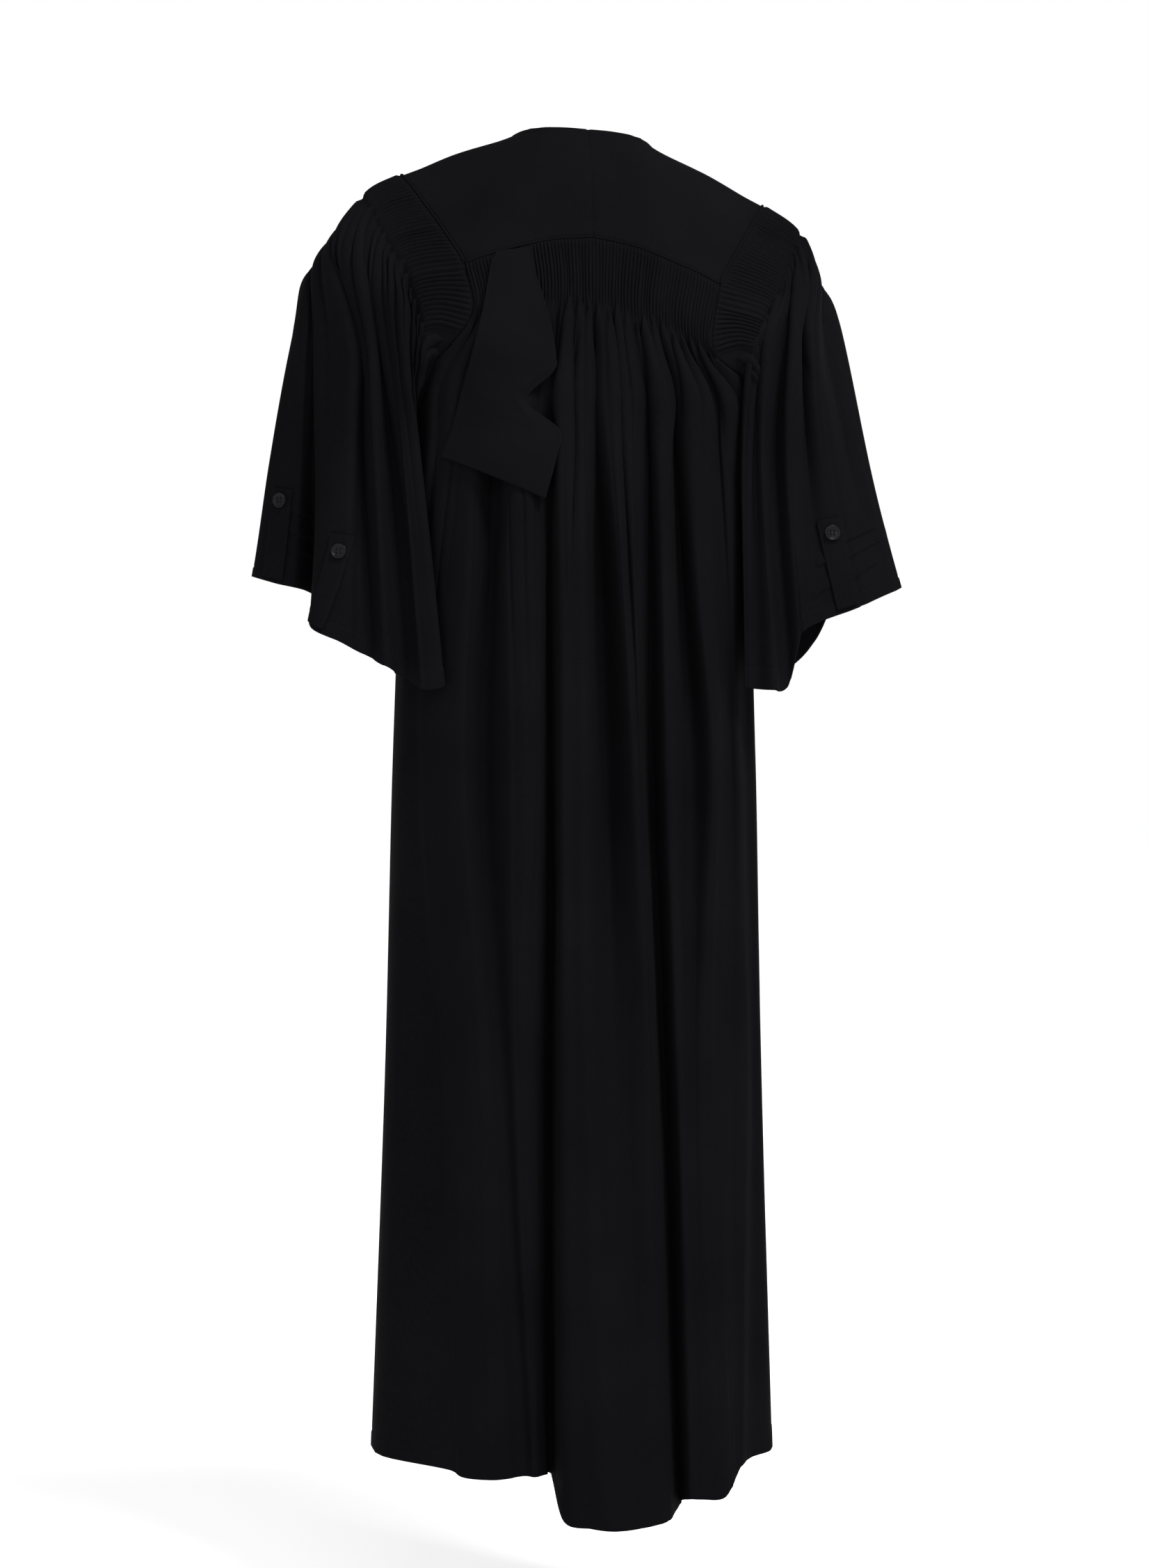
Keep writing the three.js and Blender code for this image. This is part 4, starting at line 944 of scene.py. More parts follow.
# %% [markdown]
# Each sleeve is a wide tube that is gathered round the armhole like the back: flutes stand at a
# right angle to the seam over the shoulder, and below them the cloth falls in long folds to an
# open hem at the elbow. Each row of a table is one fold, in order round the arm from the shoulder
# tip down the back, with its place on the upper arm, at the elbow and at the hem. Both sleeves
# are written with positive X, and the right one is mirrored when it is made.
# %% Fold lines of the sleeves
SleeveFold = namedtuple("SleeveFold", "name share upper elbow hem")
SLEEVE_FOLDS = {
    "left": [
        SleeveFold("crown valley", 0, (213, 62, -190), (211, 50, -304), (205, 77, -482)),
        SleeveFold("first back ridge", 0.05, (206, 77, -196), (200, 75, -306), (191, 96, -491)),
        SleeveFold("back valley", 0.09, (197, 71, -198), (187, 56, -304), (173, 83, -501)),
        SleeveFold("second back ridge", 0.14, (185, 84, -206), (175, 77, -306), (159, 105, -512)),
        SleeveFold("inner edge", 0.225, (168, 86, -222), (160, 74, -305), (139, 102, -508)),
        SleeveFold("inner turn", 0.36, (169, 64, -262), (176, 50, -335), (183, 62, -490)),
        SleeveFold("underarm", 0.513, (183, 2, -312), (187, 0, -360), (194, 5, -470)),
        SleeveFold("front turn", 0.62, (172, -66, -270), (181, -50, -330), (190, -52, -460)),
        SleeveFold("front inner edge", 0.7, (162, -104, -215), (164, -96, -305), (170, -108, -455)),
        SleeveFold("front valley", 0.745, (186, -108, -200), (192, -106, -303), (200, -122, -440)),
        SleeveFold("front ridge", 0.78, (212, -104, -188), (226, -112, -300), (238, -132, -422)),
        SleeveFold("front outer valley", 0.815, (236, -78, -176), (256, -84, -298), (268, -104, -408)),
        SleeveFold("front outer ridge", 0.845, (256, -56, -166), (282, -66, -296), (298, -90, -402)),
        SleeveFold("outer edge", 0.875, (273, -20, -160), (300, -18, -296), (316, -32, -400)),
        SleeveFold("outer slope", 0.905, (265, 12, -168), (272, 11, -301), (277, -1, -412)),
        SleeveFold("deep fold", 0.925, (255, 8, -171), (258, 2, -300), (253, -27, -414)),
        SleeveFold("plateau edge", 0.945, (251, 33, -174), (255, 40, -303), (265, 62, -450)),
        SleeveFold("plateau", 0.972, (226, 66, -185), (226, 66, -305), (233, 85, -468)),
    ],
    "right": [
        SleeveFold("crown ridge", 0, (213, 80, -178), (225, 72, -300), (251, 74, -435)),
        SleeveFold("crown valley", 0.035, (202, 72, -181), (207, 66, -303), (216, 84, -448)),
        SleeveFold("first back ridge", 0.075, (191, 91, -186), (188, 92, -301), (198, 96, -461)),
        SleeveFold("back valley", 0.105, (180, 80, -189), (176, 77, -305), (187, 88, -508)),
        SleeveFold("second back ridge", 0.15, (166, 104, -195), (161, 100, -303), (171, 112, -512)),
        SleeveFold("third back valley", 0.19, (157, 94, -200), (153, 86, -305), (156, 98, -511)),
        SleeveFold("inner edge", 0.24, (148, 101, -210), (144, 90, -306), (145, 98, -508)),
        SleeveFold("inner turn", 0.36, (162, 64, -262), (167, 48, -335), (172, 58, -490)),
        SleeveFold("underarm", 0.513, (175, 2, -312), (176, 0, -360), (184, 5, -470)),
        SleeveFold("front turn", 0.62, (166, -66, -270), (171, -50, -330), (180, -52, -460)),
        SleeveFold("front inner edge", 0.7, (158, -104, -215), (156, -96, -305), (166, -108, -480)),
        SleeveFold("front valley", 0.75, (178, -104, -200), (182, -104, -303), (212, -120, -486)),
        SleeveFold("front ridge", 0.79, (204, -92, -186), (214, -98, -300), (246, -118, -456)),
        SleeveFold("front outer valley", 0.83, (226, -62, -172), (246, -66, -297), (266, -84, -412)),
        SleeveFold("outer edge", 0.875, (246, -24, -158), (276, -34, -295), (300, -44, -408)),
        SleeveFold("outer ridge", 0.92, (246, 6, -159), (281, 2, -296), (313, 2, -409)),
        SleeveFold("outer slope", 0.96, (226, 40, -169), (250, 48, -300), (282, 42, -422)),
    ],
}
BandReach = namedtuple("BandReach", "share reach")
SLEEVE_BAND = [
    BandReach(0, (34, 0, -23)), BandReach(0.12, (44, -15, -18)), BandReach(0.214, (52, -22, -12)),
    BandReach(0.275, (38, -4, -6)), BandReach(0.32, (17, 3, -2)), BandReach(0.38, (6, 4, -3)),
    BandReach(0.513, (6, 0, -3)), BandReach(0.62, (6, -4, -3)), BandReach(0.7, (15, -8, -4)),
    BandReach(0.79, (46, -14, -10)), BandReach(0.889, (44, -6, -17)), BandReach(1, (34, 0, -23)),
]
CrownPush = namedtuple("CrownPush", "share push")
SLEEVE_CROWN = [
    CrownPush(0, (22, 6, 10)), CrownPush(0.05, (12, 10, 8)), CrownPush(0.14, (6, 10, 6)),
    CrownPush(0.225, (0, 4, 4)), CrownPush(0.36, (0, 0, 0)), CrownPush(0.7, (0, 0, 0)),
    CrownPush(0.78, (8, -6, 4)), CrownPush(0.845, (20, -2, 4)), CrownPush(0.875, (24, 4, 4)),
    CrownPush(0.92, (22, 4, 4)), CrownPush(1, (22, 6, 10)),
]
CROWN_FULLNESS = {"left": 1, "right": 0.35}
CROWN_WAY = 0.45
SLEEVE_SEAM_STEP = 0.7


def armhole_edge(side):
    """From the shoulder tip down the back, under the arm and up the front, as on the left."""
    mirror = mirror_for(side)
    back_share = float(SIDES.index(side))
    levels = np.linspace(0, UNDERARM_LEVEL, 60)
    of_back = back.places(np.array([back_share]), levels)[:, 0] * mirror
    of_front = fronts[side].places(np.array([1 - back_share]), levels)[::-1, 0] * mirror
    return edge_reader(np.concatenate([
        yoke_edge(np.linspace(TIP_SHARE, CORNER_SHARE, 30)), of_back,
        of_front, yoke_edge(np.linspace(0, TIP_SHARE, 40))]))


def round_arm(table, column, share):
    """Reads a column of three numbers from a table that goes round the arm."""
    values = np.array([getattr(row, column) for row in table], float)
    return read_line(np.mod(share, 1), [row.share for row in table], values)


def band_reach(share):
    return round_arm(SLEEVE_BAND, "reach", share)


def sleeve_cloth(side):
    edge = armhole_edge(side)
    mirror = mirror_for(side)

    def top(share):
        return edge(np.mod(share, 1)) + SLEEVE_SEAM_STEP * unit(band_reach(share))

    lines = []
    for fold in SLEEVE_FOLDS[side]:
        start = top(fold.share)
        hanging = before_lean(np.array([fold.upper, fold.elbow, fold.hem], float) * mirror) * mirror
        band_end = start + band_reach(fold.share)
        push = CROWN_FULLNESS[side] * round_arm(SLEEVE_CROWN, "push", fold.share)
        crown = band_end + CROWN_WAY * (hanging[0] - band_end) + push
        lines.append([start, band_end, crown, *hanging])
    return FoldedCloth([fold.share for fold in SLEEVE_FOLDS[side]], lines, closed=True, top=top)


sleeves = {side: sleeve_cloth(side) for side in SIDES}

# %% [markdown]
# A sleeve takes the same small forms as the back. Its flutes cover the back and front of the
# shoulder but not the underarm, and the gathers run on a little past both ends of that stretch.
# Beside the straps lie small tucks, where the wide sleeve was pressed flat.
# %% Flutes, gathers and creases of the sleeves
SLEEVE_FLUTES = Ribs(count=79, height=2.9, seed=44)
SLEEVE_GATHERS = Ribs(count=26, height=4.2, seed=46)
SLEEVE_FINE = Noise(height=0.8, cells=52, pitch=170, seed=41)
SLEEVE_BROAD = Noise(height=3.0, cells=24, pitch=320, seed=42)
SLEEVE_CREASES = Noise(height=2.6, cells=34, pitch=360, seed=47)
SLEEVE_FLUTE_SWAY = Noise(height=0.0016, cells=12, pitch=70, seed=43)
SLEEVE_GATHER_SHIFT = Noise(height=0.007, cells=30, pitch=300, seed=45)
FLUTES_FROM = 0.73
FLUTES_TO = 1.31
GATHERED_PAST = 0.05
SLEEVE_FLUTE_COLUMNS = 7
SLEEVE_WIDTH = 720
SLEEVE_DOWN = (0, 38, 92, 150, 255, 420)
TUCK_HEIGHT = 2.4
Tuck = namedtuple("Tuck", "side start end level fall")
TUCKS = [
    Tuck("left", 0.899, 0.930, 4.35, 0.05), Tuck("left", 0.899, 0.936, 4.52, 0.12),
    Tuck("left", 0.899, 0.936, 4.69, 0.06), Tuck("right", 0.997, 0.93, 4.54, -0.09),
    Tuck("right", 0.997, 0.915, 4.66, -0.13), Tuck("right", 0.997, 0.94, 4.81, -0.09),
    Tuck("right", 1.019, 1.034, 4.64, 0.01), Tuck("right", 1.019, 1.042, 4.8, 0.04),
]

sleeve_depth = depth_reader(SLEEVE_DOWN)


def fluted_share(across):
    """How far along the fluted stretch a place is, from 0 to 1, and how far past its ends, from 0."""
    middle = (FLUTES_FROM + FLUTES_TO) / 2
    around = np.mod(across - middle + 0.5, 1) + middle - 0.5
    share = (around - FLUTES_FROM) / (FLUTES_TO - FLUTES_FROM)
    return share, np.maximum(-share, share - 1)


def tucks(side, across, down):
    """Small pleats beside the straps, each a ledge that is sharp below and soft above."""
    height = 0 * across * down
    for tuck in TUCKS:
        if tuck.side == side:
            around = np.mod(across - tuck.start + 0.5, 1) - 0.5
            way = around / (tuck.end - tuck.start)
            above = tuck.level + tuck.fall * np.clip(way, 0, 1) - down
            ledge = ease(above, -0.006, 0.006) * (1 - ease(above, 0.01, 0.1))
            height = height + TUCK_HEIGHT * ledge * ease(way, -0.05, 0.05) * ease(way, 1, 0.75)
    return height


def sleeve_creases(across, down, depth):
    loose = ease(down, 0.8, 1.5)
    fine = noise_layer(SLEEVE_FINE, across, depth, closed=True)
    broad = noise_layer(SLEEVE_BROAD, across, depth, closed=True)
    folds = crease_lines(SLEEVE_CREASES, across, depth, closed=True)
    return loose * (fine + broad - SLEEVE_CREASES.height * folds)


def sleeve_rise(side, across, down, depth):
    share, past = fluted_share(across)
    stretch = np.clip(share, 0, 1)
    sway = noise_layer(SLEEVE_FLUTE_SWAY, stretch, depth)
    fluted = flutes(SLEEVE_FLUTES, stretch + sway, down, 1.1, strength=ease(past, 0.005, -0.02))
    shifted = share + noise_layer(SLEEVE_GATHER_SHIFT, stretch, 0 * depth)
    below_flutes = down + 0.8 * ease(past, -0.01, 0.02)
    gathered = gathers(SLEEVE_GATHERS, shifted, below_flutes)
    gathered = gathered * ease(past, GATHERED_PAST * 2, GATHERED_PAST)
    creases = sleeve_creases(across, down, depth)
    hem = turned_hem(SLEEVE_DOWN[-1] - depth)
    return fluted + gathered + creases + tucks(side, across, down) + hem


def sleeve_columns(flute_columns, plain_columns):
    start = FLUTES_TO + GATHERED_PAST - 1
    return steps(start, plain_columns, FLUTES_FROM - GATHERED_PAST, flute_columns, 1 + start)[:-1]


for side, cloth in sleeves.items():
    sleeve = cloth_wall(
        f"sleeve_{side}_cloth", cloth,
        [
            (sleeve_columns(SLEEVE_FLUTES.count * SLEEVE_FLUTE_COLUMNS, 56),
             steps(0, 4, 0.15, 12, 1, 20, 2)),
            (sleeve_columns(280, 60), steps(2.06, 18, 3, 30, 4.2, 62, 4.9, 12, 5)),
        ],
        (sleeve_columns(130, 60), steps(0, 8, 1, 56, 4.9, 4, 5)),
        lambda *at: sleeve_rise(side, *at), sleeve_creases, SLEEVE_WIDTH, sleeve_depth,
        mirrored=side == "right")
    stand_for(sleeve, f"sleeve_{side}")

# %% [markdown]
# The flap is what is left of a mourning hood: a small double piece of cloth, narrow at the yoke
# seam, that widens into two lobes. A tack on its right edge pinches it between the lobes.
# %% Flap
FlapRow = namedtuple("FlapRow", "name left right out middle")
FLAP = [
    FlapRow("seam", (90, -107), (59, -103), (5, 5), 5),
    FlapRow("below the seam", (96, -121), (56, -121), (6.5, 6), 6.5),
    FlapRow("band", (103, -160), (42, -168), (7, 8), 8),
    FlapRow("upper peak", (111, -193), (36, -204), (10, 12), 14),
    FlapRow("under the peak", (115, -208), (38, -219), (11, 13), 15),
    FlapRow("notch", (122, -234), (62, -246), (12, 13), 17),
    FlapRow("lower lobe", (131, -268), (32, -274), (12, 14), 15),
    FlapRow("lower corner", (136, -282), (35, -297), (13, 14), 16),
    FlapRow("hem", (141, -295), (46, -337), (14, 14), 16),
]
FLAP_LEVELS = len(FLAP) - 1
FLAP_LINES = 7
FLAP_WIDTH = 90
FLAP_DOWN = (0, 16, 58, 92, 108, 136, 168, 186, 216)
FLAP_NOTCH_LEVEL = 5
FLAP_DENTS = Noise(height=0.7, cells=4, pitch=150, seed=51)
FLAP_EDGE_RISE = 0.35
FLAP_CREASE_RISE = 0.8
TACK_PULL = 2.2
TACK_REACH = 9


def flap_cloth():
    lines = []
    for share in np.linspace(0, 1, FLAP_LINES):
        bulge = 4 * share * (1 - share)
        places = []
        for row in FLAP:
            x, z = (start + (end - start) * share for start, end in zip(row.left, row.right))
            stand = row.out[0] + (row.out[1] - row.out[0]) * share
            stand += bulge * (row.middle - sum(row.out) / 2)
            place = before_lean(np.array([x, 0.0, z]))
            place[1] = float(body_depth(x, place[2], "back")) + stand
            places.append(place)
        lines.append(places)
    return FoldedCloth(np.linspace(0, 1, FLAP_LINES), lines)


flap_depth = depth_reader(FLAP_DOWN)


def flap_rise(across, down, depth):
    dents = noise_layer(FLAP_DENTS, across, depth)
    edge = FLAP_EDGE_RISE * (1 - ease(np.minimum(across, 1 - across) * FLAP_WIDTH, 3, 5))
    from_tack = np.hypot((1 - across) * FLAP_WIDTH, depth - FLAP_DOWN[FLAP_NOTCH_LEVEL])
    pinch = -TACK_PULL * np.exp(-((from_tack / TACK_REACH) ** 2))
    crease_middle = 0.93 - 0.05 * (down - 3)
    crease = FLAP_CREASE_RISE * np.exp(-(((across - crease_middle) / 0.06) ** 2))
    crease = crease * ease(down, 2, 4) * ease(down, 7.5, 6)
    return dents * ease(down, 0, 1) + edge + pinch + crease


flap = flap_cloth()
flap_piece = cloth_wall(
    "hood_flap_cloth", flap,
    [(np.linspace(0, 1, 90), np.linspace(0, FLAP_LEVELS, 150))],
    (np.linspace(0, 1, 44), np.linspace(0, FLAP_LEVELS, 74)),
    flap_rise, flap_rise, FLAP_WIDTH, flap_depth)
stand_for(flap_piece, "hood_flap")

# %% [markdown]
# Two straps lie on each sleeve, from a button down to the hem. Each is a doubled tape with a row
# of stitches near each edge. It follows the cloth under it, so it is a strip of the sleeve's own
# surface, moved out by the cloth's thickness.
# %% Straps
Strap = namedtuple("Strap", "name side share hem_share top")
STRAPS = [
    Strap("left_outer", "left", 0.892, 0.891, 4.16),
    Strap("left_inner", "left", 0.9705, 0.9525, 4.4),
    Strap("right_outer", "right", 1.008, 1.006, 4.36),
    Strap("right_front", "right", 0.805, 0.8, 4.3),
]
STRAP_HEM = 4.97
STRAP_WIDTH = 23
STRAP_CLEAR = 0.9
STRAP_CLOTH = 1.8
STRAP_EDGE = 2.6
STRAP_CROWN = 0.35
STRAP_STITCH_DIP = 0.4
STRAP_ROWS = 90
STRAP_COLUMNS = 25


def strap_share(strap, level):
    return strap.share + (strap.hem_share - strap.share) * (level - strap.top) / (STRAP_HEM - strap.top)


def strap_line(strap, level, offset, rise):
    """Places and directions at an offset in millimetres from the middle of a strap."""
    cloth = sleeves[strap.side]
    middle = strap_share(strap, level)
    ends = cloth.places(np.array([middle - ACROSS_STEP, middle + ACROSS_STEP]), np.array([level]))[0]
    across = np.array([middle + offset * 2 * ACROSS_STEP / np.linalg.norm(ends[1] - ends[0])]).ravel()
    down = np.array([level])
    height = sleeve_creases(across[None, :], down[:, None], sleeve_depth(down)[:, None])
    outward = cloth.outward(across, down)[0]
    return cloth.places(across, down)[0] + outward * (height[0] + rise)[..., None], outward


def strap_wall(strap):
    wall = Wall(False)
    levels = np.linspace(strap.top, STRAP_HEM, STRAP_ROWS)
    offsets = np.linspace(-0.5, 0.5, STRAP_COLUMNS) * STRAP_WIDTH
    from_edge = STRAP_WIDTH / 2 - np.abs(offsets)
    stitched = STRAP_STITCH_DIP * np.exp(-(((from_edge - STRAP_EDGE) / 0.7) ** 2))
    crown = STRAP_CROWN * ease(from_edge, 0, 1.5) - stitched
    middles = np.stack([strap_line(strap, level, 0, 0)[0][0] for level in levels])
    depth = lengths_along(middles)
    share = offsets / STRAP_WIDTH + 0.5
    faces = []
    for rise in (STRAP_CLEAR + STRAP_CLOTH + crown, STRAP_CLEAR + 0 * crown):
        places = np.stack([strap_line(strap, level, offsets, rise)[0] for level in levels])
        faces.append(wall.add_grid(places, share, levels, STRAP_WIDTH, depth))
    outer, inner = faces
    wall.fill(outer)
    wall.fill(inner, inside_out=True)
    wall.join(inner.row(0), outer.row(0))
    wall.join(outer.row(-1), inner.row(-1))
    wall.join(outer.side(0), inner.side(0))
    wall.join(inner.side(-1), outer.side(-1))
    name = f"strap_{strap.name}_cloth"
    return add_piece(name, wall.mesh(name, strap.side == "right")), depth[-1] * METRES


for strap in STRAPS:
    strap_piece, strap_length = strap_wall(strap)
    stand_for(strap_piece, f"strap_{strap.name}")
    print(strap_piece.name, "is", round(strap_length, 3), "m long")

# %% [markdown]
# Rows of small stitches hold the hems and run along both edges of each strap. A stitch is a short
# rounded bar of thread, half sunk in the cloth, and the stitches of one piece are one mesh.
# %% Stitches
STITCH_PITCH = 3.0
STITCH_LENGTH = 1.9
STITCH_RADIUS = 0.2
STITCH_SIDES = 5
StitchRing = namedtuple("StitchRing", "way size")
STITCH_RINGS = [StitchRing(0, 0.4), StitchRing(0.2, 1), StitchRing(0.8, 1), StitchRing(1, 0.4)]


def round_section(side, up, count):
    """Places round a circle of radius 1, for each pair of directions."""
    turns = np.arange(count) * 2 * math.pi / count
    return np.cos(turns)[:, None] * side[:, None] + np.sin(turns)[:, None] * up[:, None]


def bar_mesh(name, rings, mirrored=False):
    """Closed bars in one mesh: a row of rings for each bar, and a row of places for each ring."""
    ids = np.arange(rings.size // 3).reshape(rings.shape[:3])
    after = np.roll(ids, -1, axis=2)
    sides = np.stack([ids[:, :-1], ids[:, 1:], after[:, 1:], after[:, :-1]], axis=-1)
    faces = sides.reshape(-1, 4).tolist() + ids[:, 0].tolist() + ids[:, -1, ::-1].tolist()
    places = rings.reshape(-1, 3) * (LEFT_TO_RIGHT if mirrored else 1)
    mesh = bpy.data.meshes.new(name)
    mesh.from_pydata((lean(places) * METRES).tolist(), [], faces)
    if mirrored:
        mesh.flip_normals()
    return mesh


def stitch_row(name, points, outward, mirrored=False):
    """Stitches along a line of places on the cloth."""
    lengths = lengths_along(points)
    middles = np.arange(STITCH_PITCH, lengths[-1] - STITCH_PITCH, STITCH_PITCH)
    starts = read_line(middles - STITCH_LENGTH / 2, lengths, points)
    along = read_line(middles + STITCH_LENGTH / 2, lengths, points) - starts
    side = unit(np.cross(along, read_line(middles, lengths, outward)))
    around = round_section(side, unit(np.cross(side, along)), STITCH_SIDES)
    rings = np.stack([
        (starts + ring.way * along)[:, None] + ring.size * STITCH_RADIUS * around
        for ring in STITCH_RINGS], axis=1)
    print(name, "has", len(middles), "stitches")
    return add_piece(name, bar_mesh(name, rings, mirrored))


def hem_line(cloth, rise, depth, levels_down, count):
    """Places and directions along the stitch line of a hem."""
    across = np.linspace(0, 1, count)
    last_step = levels_down[-1] - levels_down[-2]
    down = np.array([len(levels_down) - 1 - HEM_TURN / last_step])
    height = rise(across[None, :], down[:, None], depth(down)[:, None])[0]
    outward = cloth.outward(across, down)[0]
    return cloth.places(across, down)[0] + outward * height[:, None], outward


dress(stitch_row("back_hem_stitches", *hem_line(back, back_rise, back_depth, BACK_DOWN, 900)),
      sewing_thread)
for side in SIDES:
    line = hem_line(fronts[side], front_rise, front_depth, FRONT_DOWN, 240)
    dress(stitch_row(f"front_{side}_hem_stitches", *line), sewing_thread)
    line = hem_line(
        sleeves[side], lambda *at: sleeve_rise(side, *at), sleeve_depth, SLEEVE_DOWN, 900)
    stitches = stitch_row(f"sleeve_{side}_hem_stitches", *line, mirrored=side == "right")
    dress(stitches, sewing_thread)

for strap in STRAPS:
    for edge, offset in (("left", -1), ("right", 1)):
        at = [
            strap_line(strap, level, offset * (STRAP_WIDTH / 2 - STRAP_EDGE), STRAP_CLEAR + STRAP_CLOTH)
            for level in np.linspace(strap.top + 0.02, STRAP_HEM - 0.01, 60)]
        points = np.array([place[0] for place, _ in at])
        outward = np.array([direction[0] for _, direction in at])
        name = f"strap_{strap.name}_{edge}_stitches"
        stitches = stitch_row(name, points, outward, mirrored=strap.side == "right")
        dress(stitches, sewing_thread)

# %% [markdown]
# The buttons are black four-hole buttons of a hard, glossy plastic, 14 mm wide. One is modelled by
# hand: a disc, a bevelled rim, a sunken middle and four holes cut by thin rods. It is copied to
# the top of each strap, and thread crosses between its holes.
# %% Button
BUTTON_RADIUS = 0.0072
BUTTON_THICK = 0.0026
BUTTON_SIDES = 48
HOLE_RADIUS = 0.0009
HOLE_REACH = 0.0018
HOLE_SIDES = 16
RIM_WIDTH = 0.0014
RIM_SLOPE = 0.0006
MIDDLE_SINKS = 0.0007
RIM_BEVEL = 0.00035
THREAD_SIDES = 10
THREAD_RADIUS = 0.00042
THREAD_PAST_HOLES = 0.0006
THREAD_SUNK = 0.0005
SMOOTH_UP_TO = math.radians(40)
BUTTON_CLEAR = 0.7
BUTTON_BELOW_TOP = 0.1


def select_only(piece):
    bpy.ops.object.select_all(action="DESELECT")
    piece.select_set(True)
    bpy.context.view_layer.objects.active = piece


def select_top_faces(piece):
    """Selects the faces that look straight up, in edit mode."""
    bpy.ops.mesh.select_all(action="DESELECT")
    bpy.ops.object.mode_set(mode="OBJECT")
    for face in piece.data.polygons:
        face.select = face.normal.z > 0.9
    bpy.ops.object.mode_set(mode="EDIT")


def model_button():
    bpy.ops.object.select_all(action="DESELECT")
    bpy.ops.mesh.primitive_cylinder_add(
        vertices=BUTTON_SIDES, radius=BUTTON_RADIUS, depth=BUTTON_THICK,
        location=(0, 0, BUTTON_THICK / 2))
    button = bpy.context.object
    bpy.ops.object.transform_apply(location=True)
    bpy.ops.object.mode_set(mode="EDIT")
    bpy.ops.mesh.select_mode(type="FACE")
    select_top_faces(button)
    bpy.ops.mesh.inset(thickness=RIM_WIDTH)
    bpy.ops.mesh.inset(thickness=RIM_SLOPE)
    bpy.ops.transform.translate(value=(0, 0, -MIDDLE_SINKS))
    bpy.ops.mesh.select_mode(type="EDGE")
    bpy.ops.object.mode_set(mode="OBJECT")
    select_only(button)
    bevel = button.modifiers.new("rim", "BEVEL")
    bevel.width = RIM_BEVEL
    bevel.segments = 3
    bevel.limit_method = "ANGLE"
    bpy.ops.object.modifier_apply(modifier=bevel.name)
    bpy.ops.object.select_all(action="DESELECT")
    rods = []
    for x, y in ((1, 1), (-1, 1), (-1, -1), (1, -1)):
        bpy.ops.mesh.primitive_cylinder_add(
            vertices=HOLE_SIDES, radius=HOLE_RADIUS, depth=3 * BUTTON_THICK,
            location=(x * HOLE_REACH, y * HOLE_REACH, BUTTON_THICK / 2))
        rods.append(bpy.context.object)
    for rod in rods:
        select_only(button)
        cut = button.modifiers.new("hole", "BOOLEAN")
        cut.operation = "DIFFERENCE"
        cut.solver = "EXACT"
        cut.object = rod
        bpy.ops.object.modifier_apply(modifier=cut.name)
        bpy.data.objects.remove(rod, do_unlink=True)
    select_only(button)
    bpy.ops.object.shade_smooth_by_angle(angle=SMOOTH_UP_TO)
    return button


def model_thread():
    """Two rounded bars of thread, each across a pair of holes."""
    bars = []
    for x in (-1, 1):
        bpy.ops.object.select_all(action="DESELECT")
        bpy.ops.mesh.primitive_cylinder_add(
            vertices=THREAD_SIDES, radius=THREAD_RADIUS, depth=2 * HOLE_REACH + THREAD_PAST_HOLES,
            location=(x * HOLE_REACH, 0, BUTTON_THICK - THREAD_SUNK), rotation=(math.pi / 2, 0, 0))
        bars.append(bpy.context.object)
    for bar in bars:
        bar.select_set(True)
    bpy.ops.object.join()
    bpy.ops.object.transform_apply(location=True, rotation=True)
    thread = bpy.context.object
    select_only(thread)
    bpy.ops.object.shade_smooth_by_angle(angle=SMOOTH_UP_TO)
    return thread


button_plastic = grained_material("button_plastic", (0.004, 0.004, 0.005, 1), 0.09, (0.2, 0.34), 900)
model_of_button = model_button()
model_of_thread = model_thread()


def place_copy(model, name, matrix):
    mesh = model.data.copy()
    mesh.transform(matrix)
    return add_piece(name, mesh)


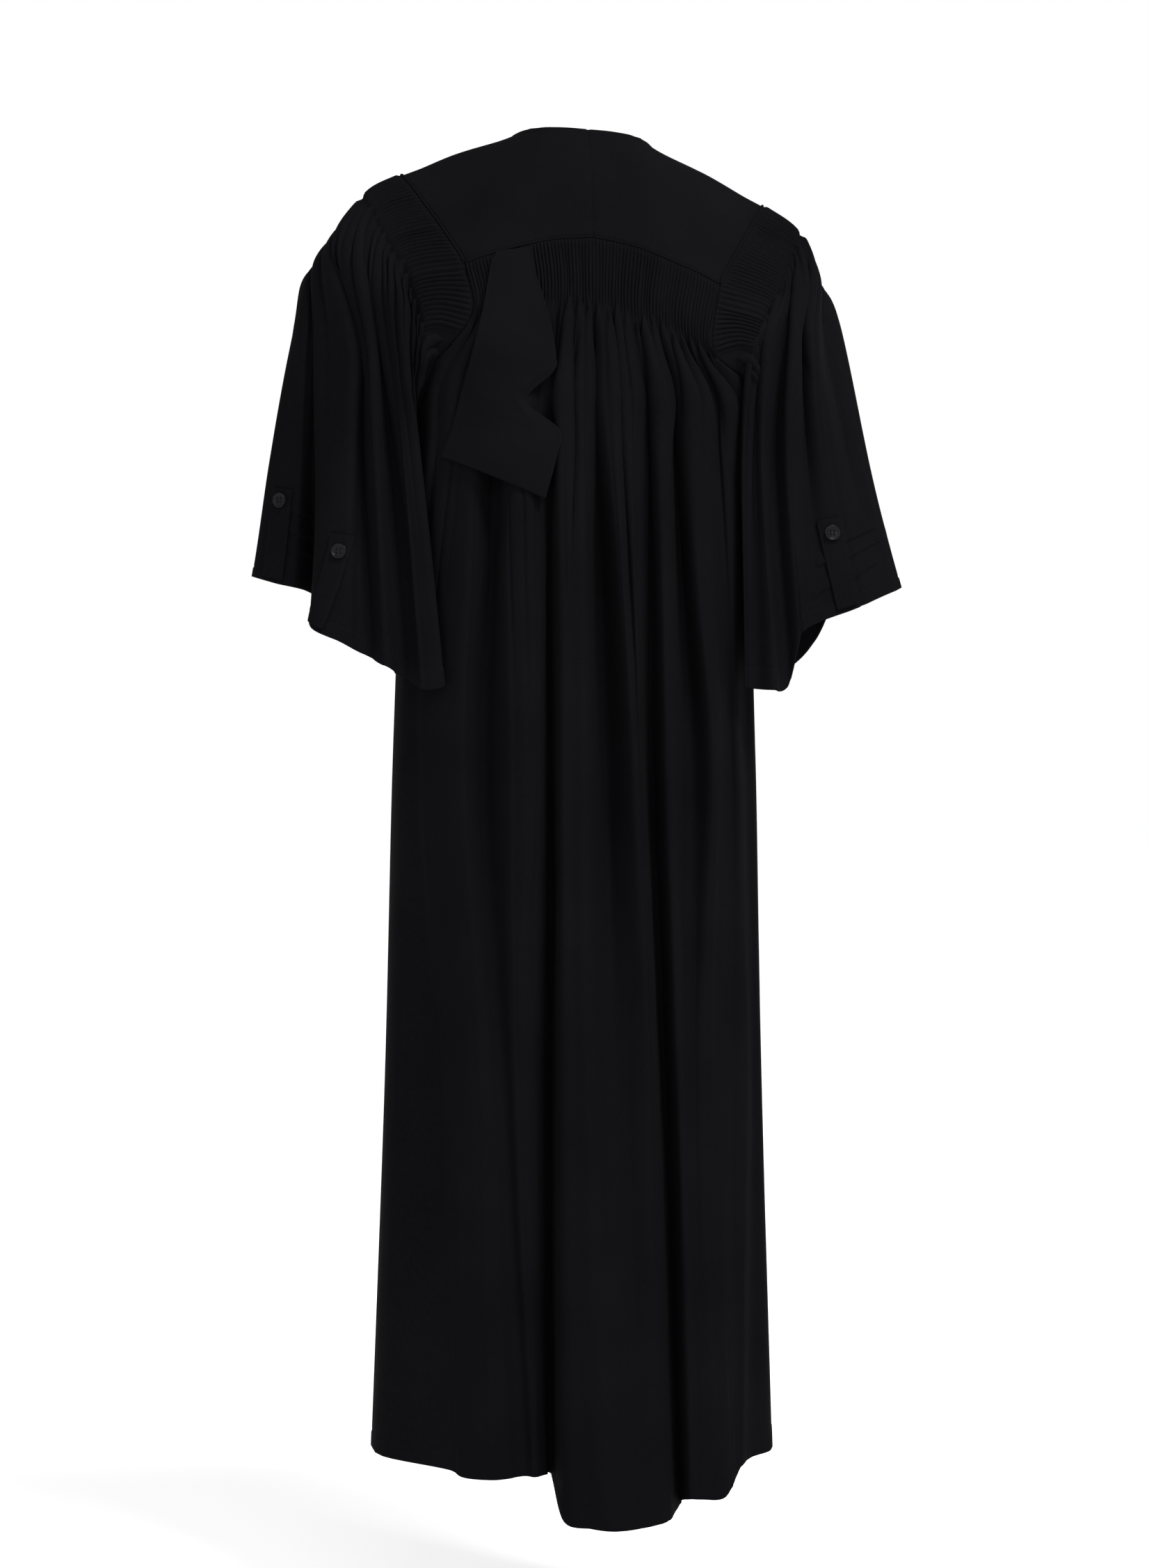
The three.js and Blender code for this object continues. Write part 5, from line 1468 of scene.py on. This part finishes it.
for strap in STRAPS:
    rise = STRAP_CLEAR + STRAP_CLOTH + BUTTON_CLEAR
    place, outward = strap_line(strap, strap.top + BUTTON_BELOW_TOP, 0, rise)
    mirror = mirror_for(strap.side)
    turn = Vector(outward[0] * mirror).to_track_quat("Z", "Y").to_matrix().to_4x4()
    matrix = Matrix.Translation(lean(place[0] * mirror) * METRES) @ turn
    button = place_copy(model_of_button, f"button_{strap.name}_plastic", matrix)
    dress(button, button_plastic)
    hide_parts(f"button_{strap.name}")
    thread = place_copy(model_of_thread, f"button_{strap.name}_thread", matrix)
    dress(thread, sewing_thread)
for model in (model_of_button, model_of_thread):
    bpy.data.objects.remove(model, do_unlink=True)

# %% [markdown]
# A thin cord is sewn into the seams that carry the gathers: along the lower edge of the yoke and
# round the armholes. It holds the seam round and throws the fine dark line under the yoke. It is a
# tube that follows the seam.
# %% Corded seams
CORD_SIDES = 8
CORD_END_SIZE = 0.4
CORD_WEAVE_ROUND = 0.0012
CORD_WEAVE_ALONG = 0.002
SeamCord = namedtuple("SeamCord", "name start end places offset radius")
SEAM_CORDS = [
    SeamCord("lower", CORNER_SHARE, 1, 90, 0.55, 1.2),
    SeamCord("armhole", 0.02, CORNER_SHARE, 120, 0.6, 1.3),
]


def tube(name, points, radius):
    """A closed tube along open points, a little narrower at each end."""
    tangent = unit(np.gradient(points, axis=0))
    side = unit(np.cross(tangent, (0, 0, 1)))
    sizes = np.full(len(points), radius)
    sizes[0] = sizes[-1] = radius * CORD_END_SIZE
    around = round_section(side, np.cross(side, tangent), CORD_SIDES)
    mesh = bar_mesh(name, (points[:, None] + sizes[:, None, None] * around)[None])
    flat = np.array([
        ((loop.vertex_index % CORD_SIDES) * CORD_WEAVE_ROUND,
         (loop.vertex_index // CORD_SIDES) * CORD_WEAVE_ALONG)
        for loop in mesh.loops])
    mesh.uv_layers.new(name="weave").data.foreach_set("uv", flat.ravel())
    mesh.polygons.foreach_set("use_smooth", np.ones(len(mesh.polygons), bool))
    return add_piece(name, mesh)


def beside_yoke_edge(shares, offset):
    """The outer edge of the yoke, moved out from the body."""
    return yoke_edge(shares) + offset * yoke.outward(shares, np.array([YOKE_OUTER_LEVEL]))[0]


for side in SIDES:
    for cord in SEAM_CORDS:
        line = beside_yoke_edge(np.linspace(cord.start, cord.end, cord.places), cord.offset)
        piece = tube(f"yoke_{side}_{cord.name}_cord", line * mirror_for(side), cord.radius)
        dress(piece)
print("corded seams:", len(SIDES) * len(SEAM_CORDS))
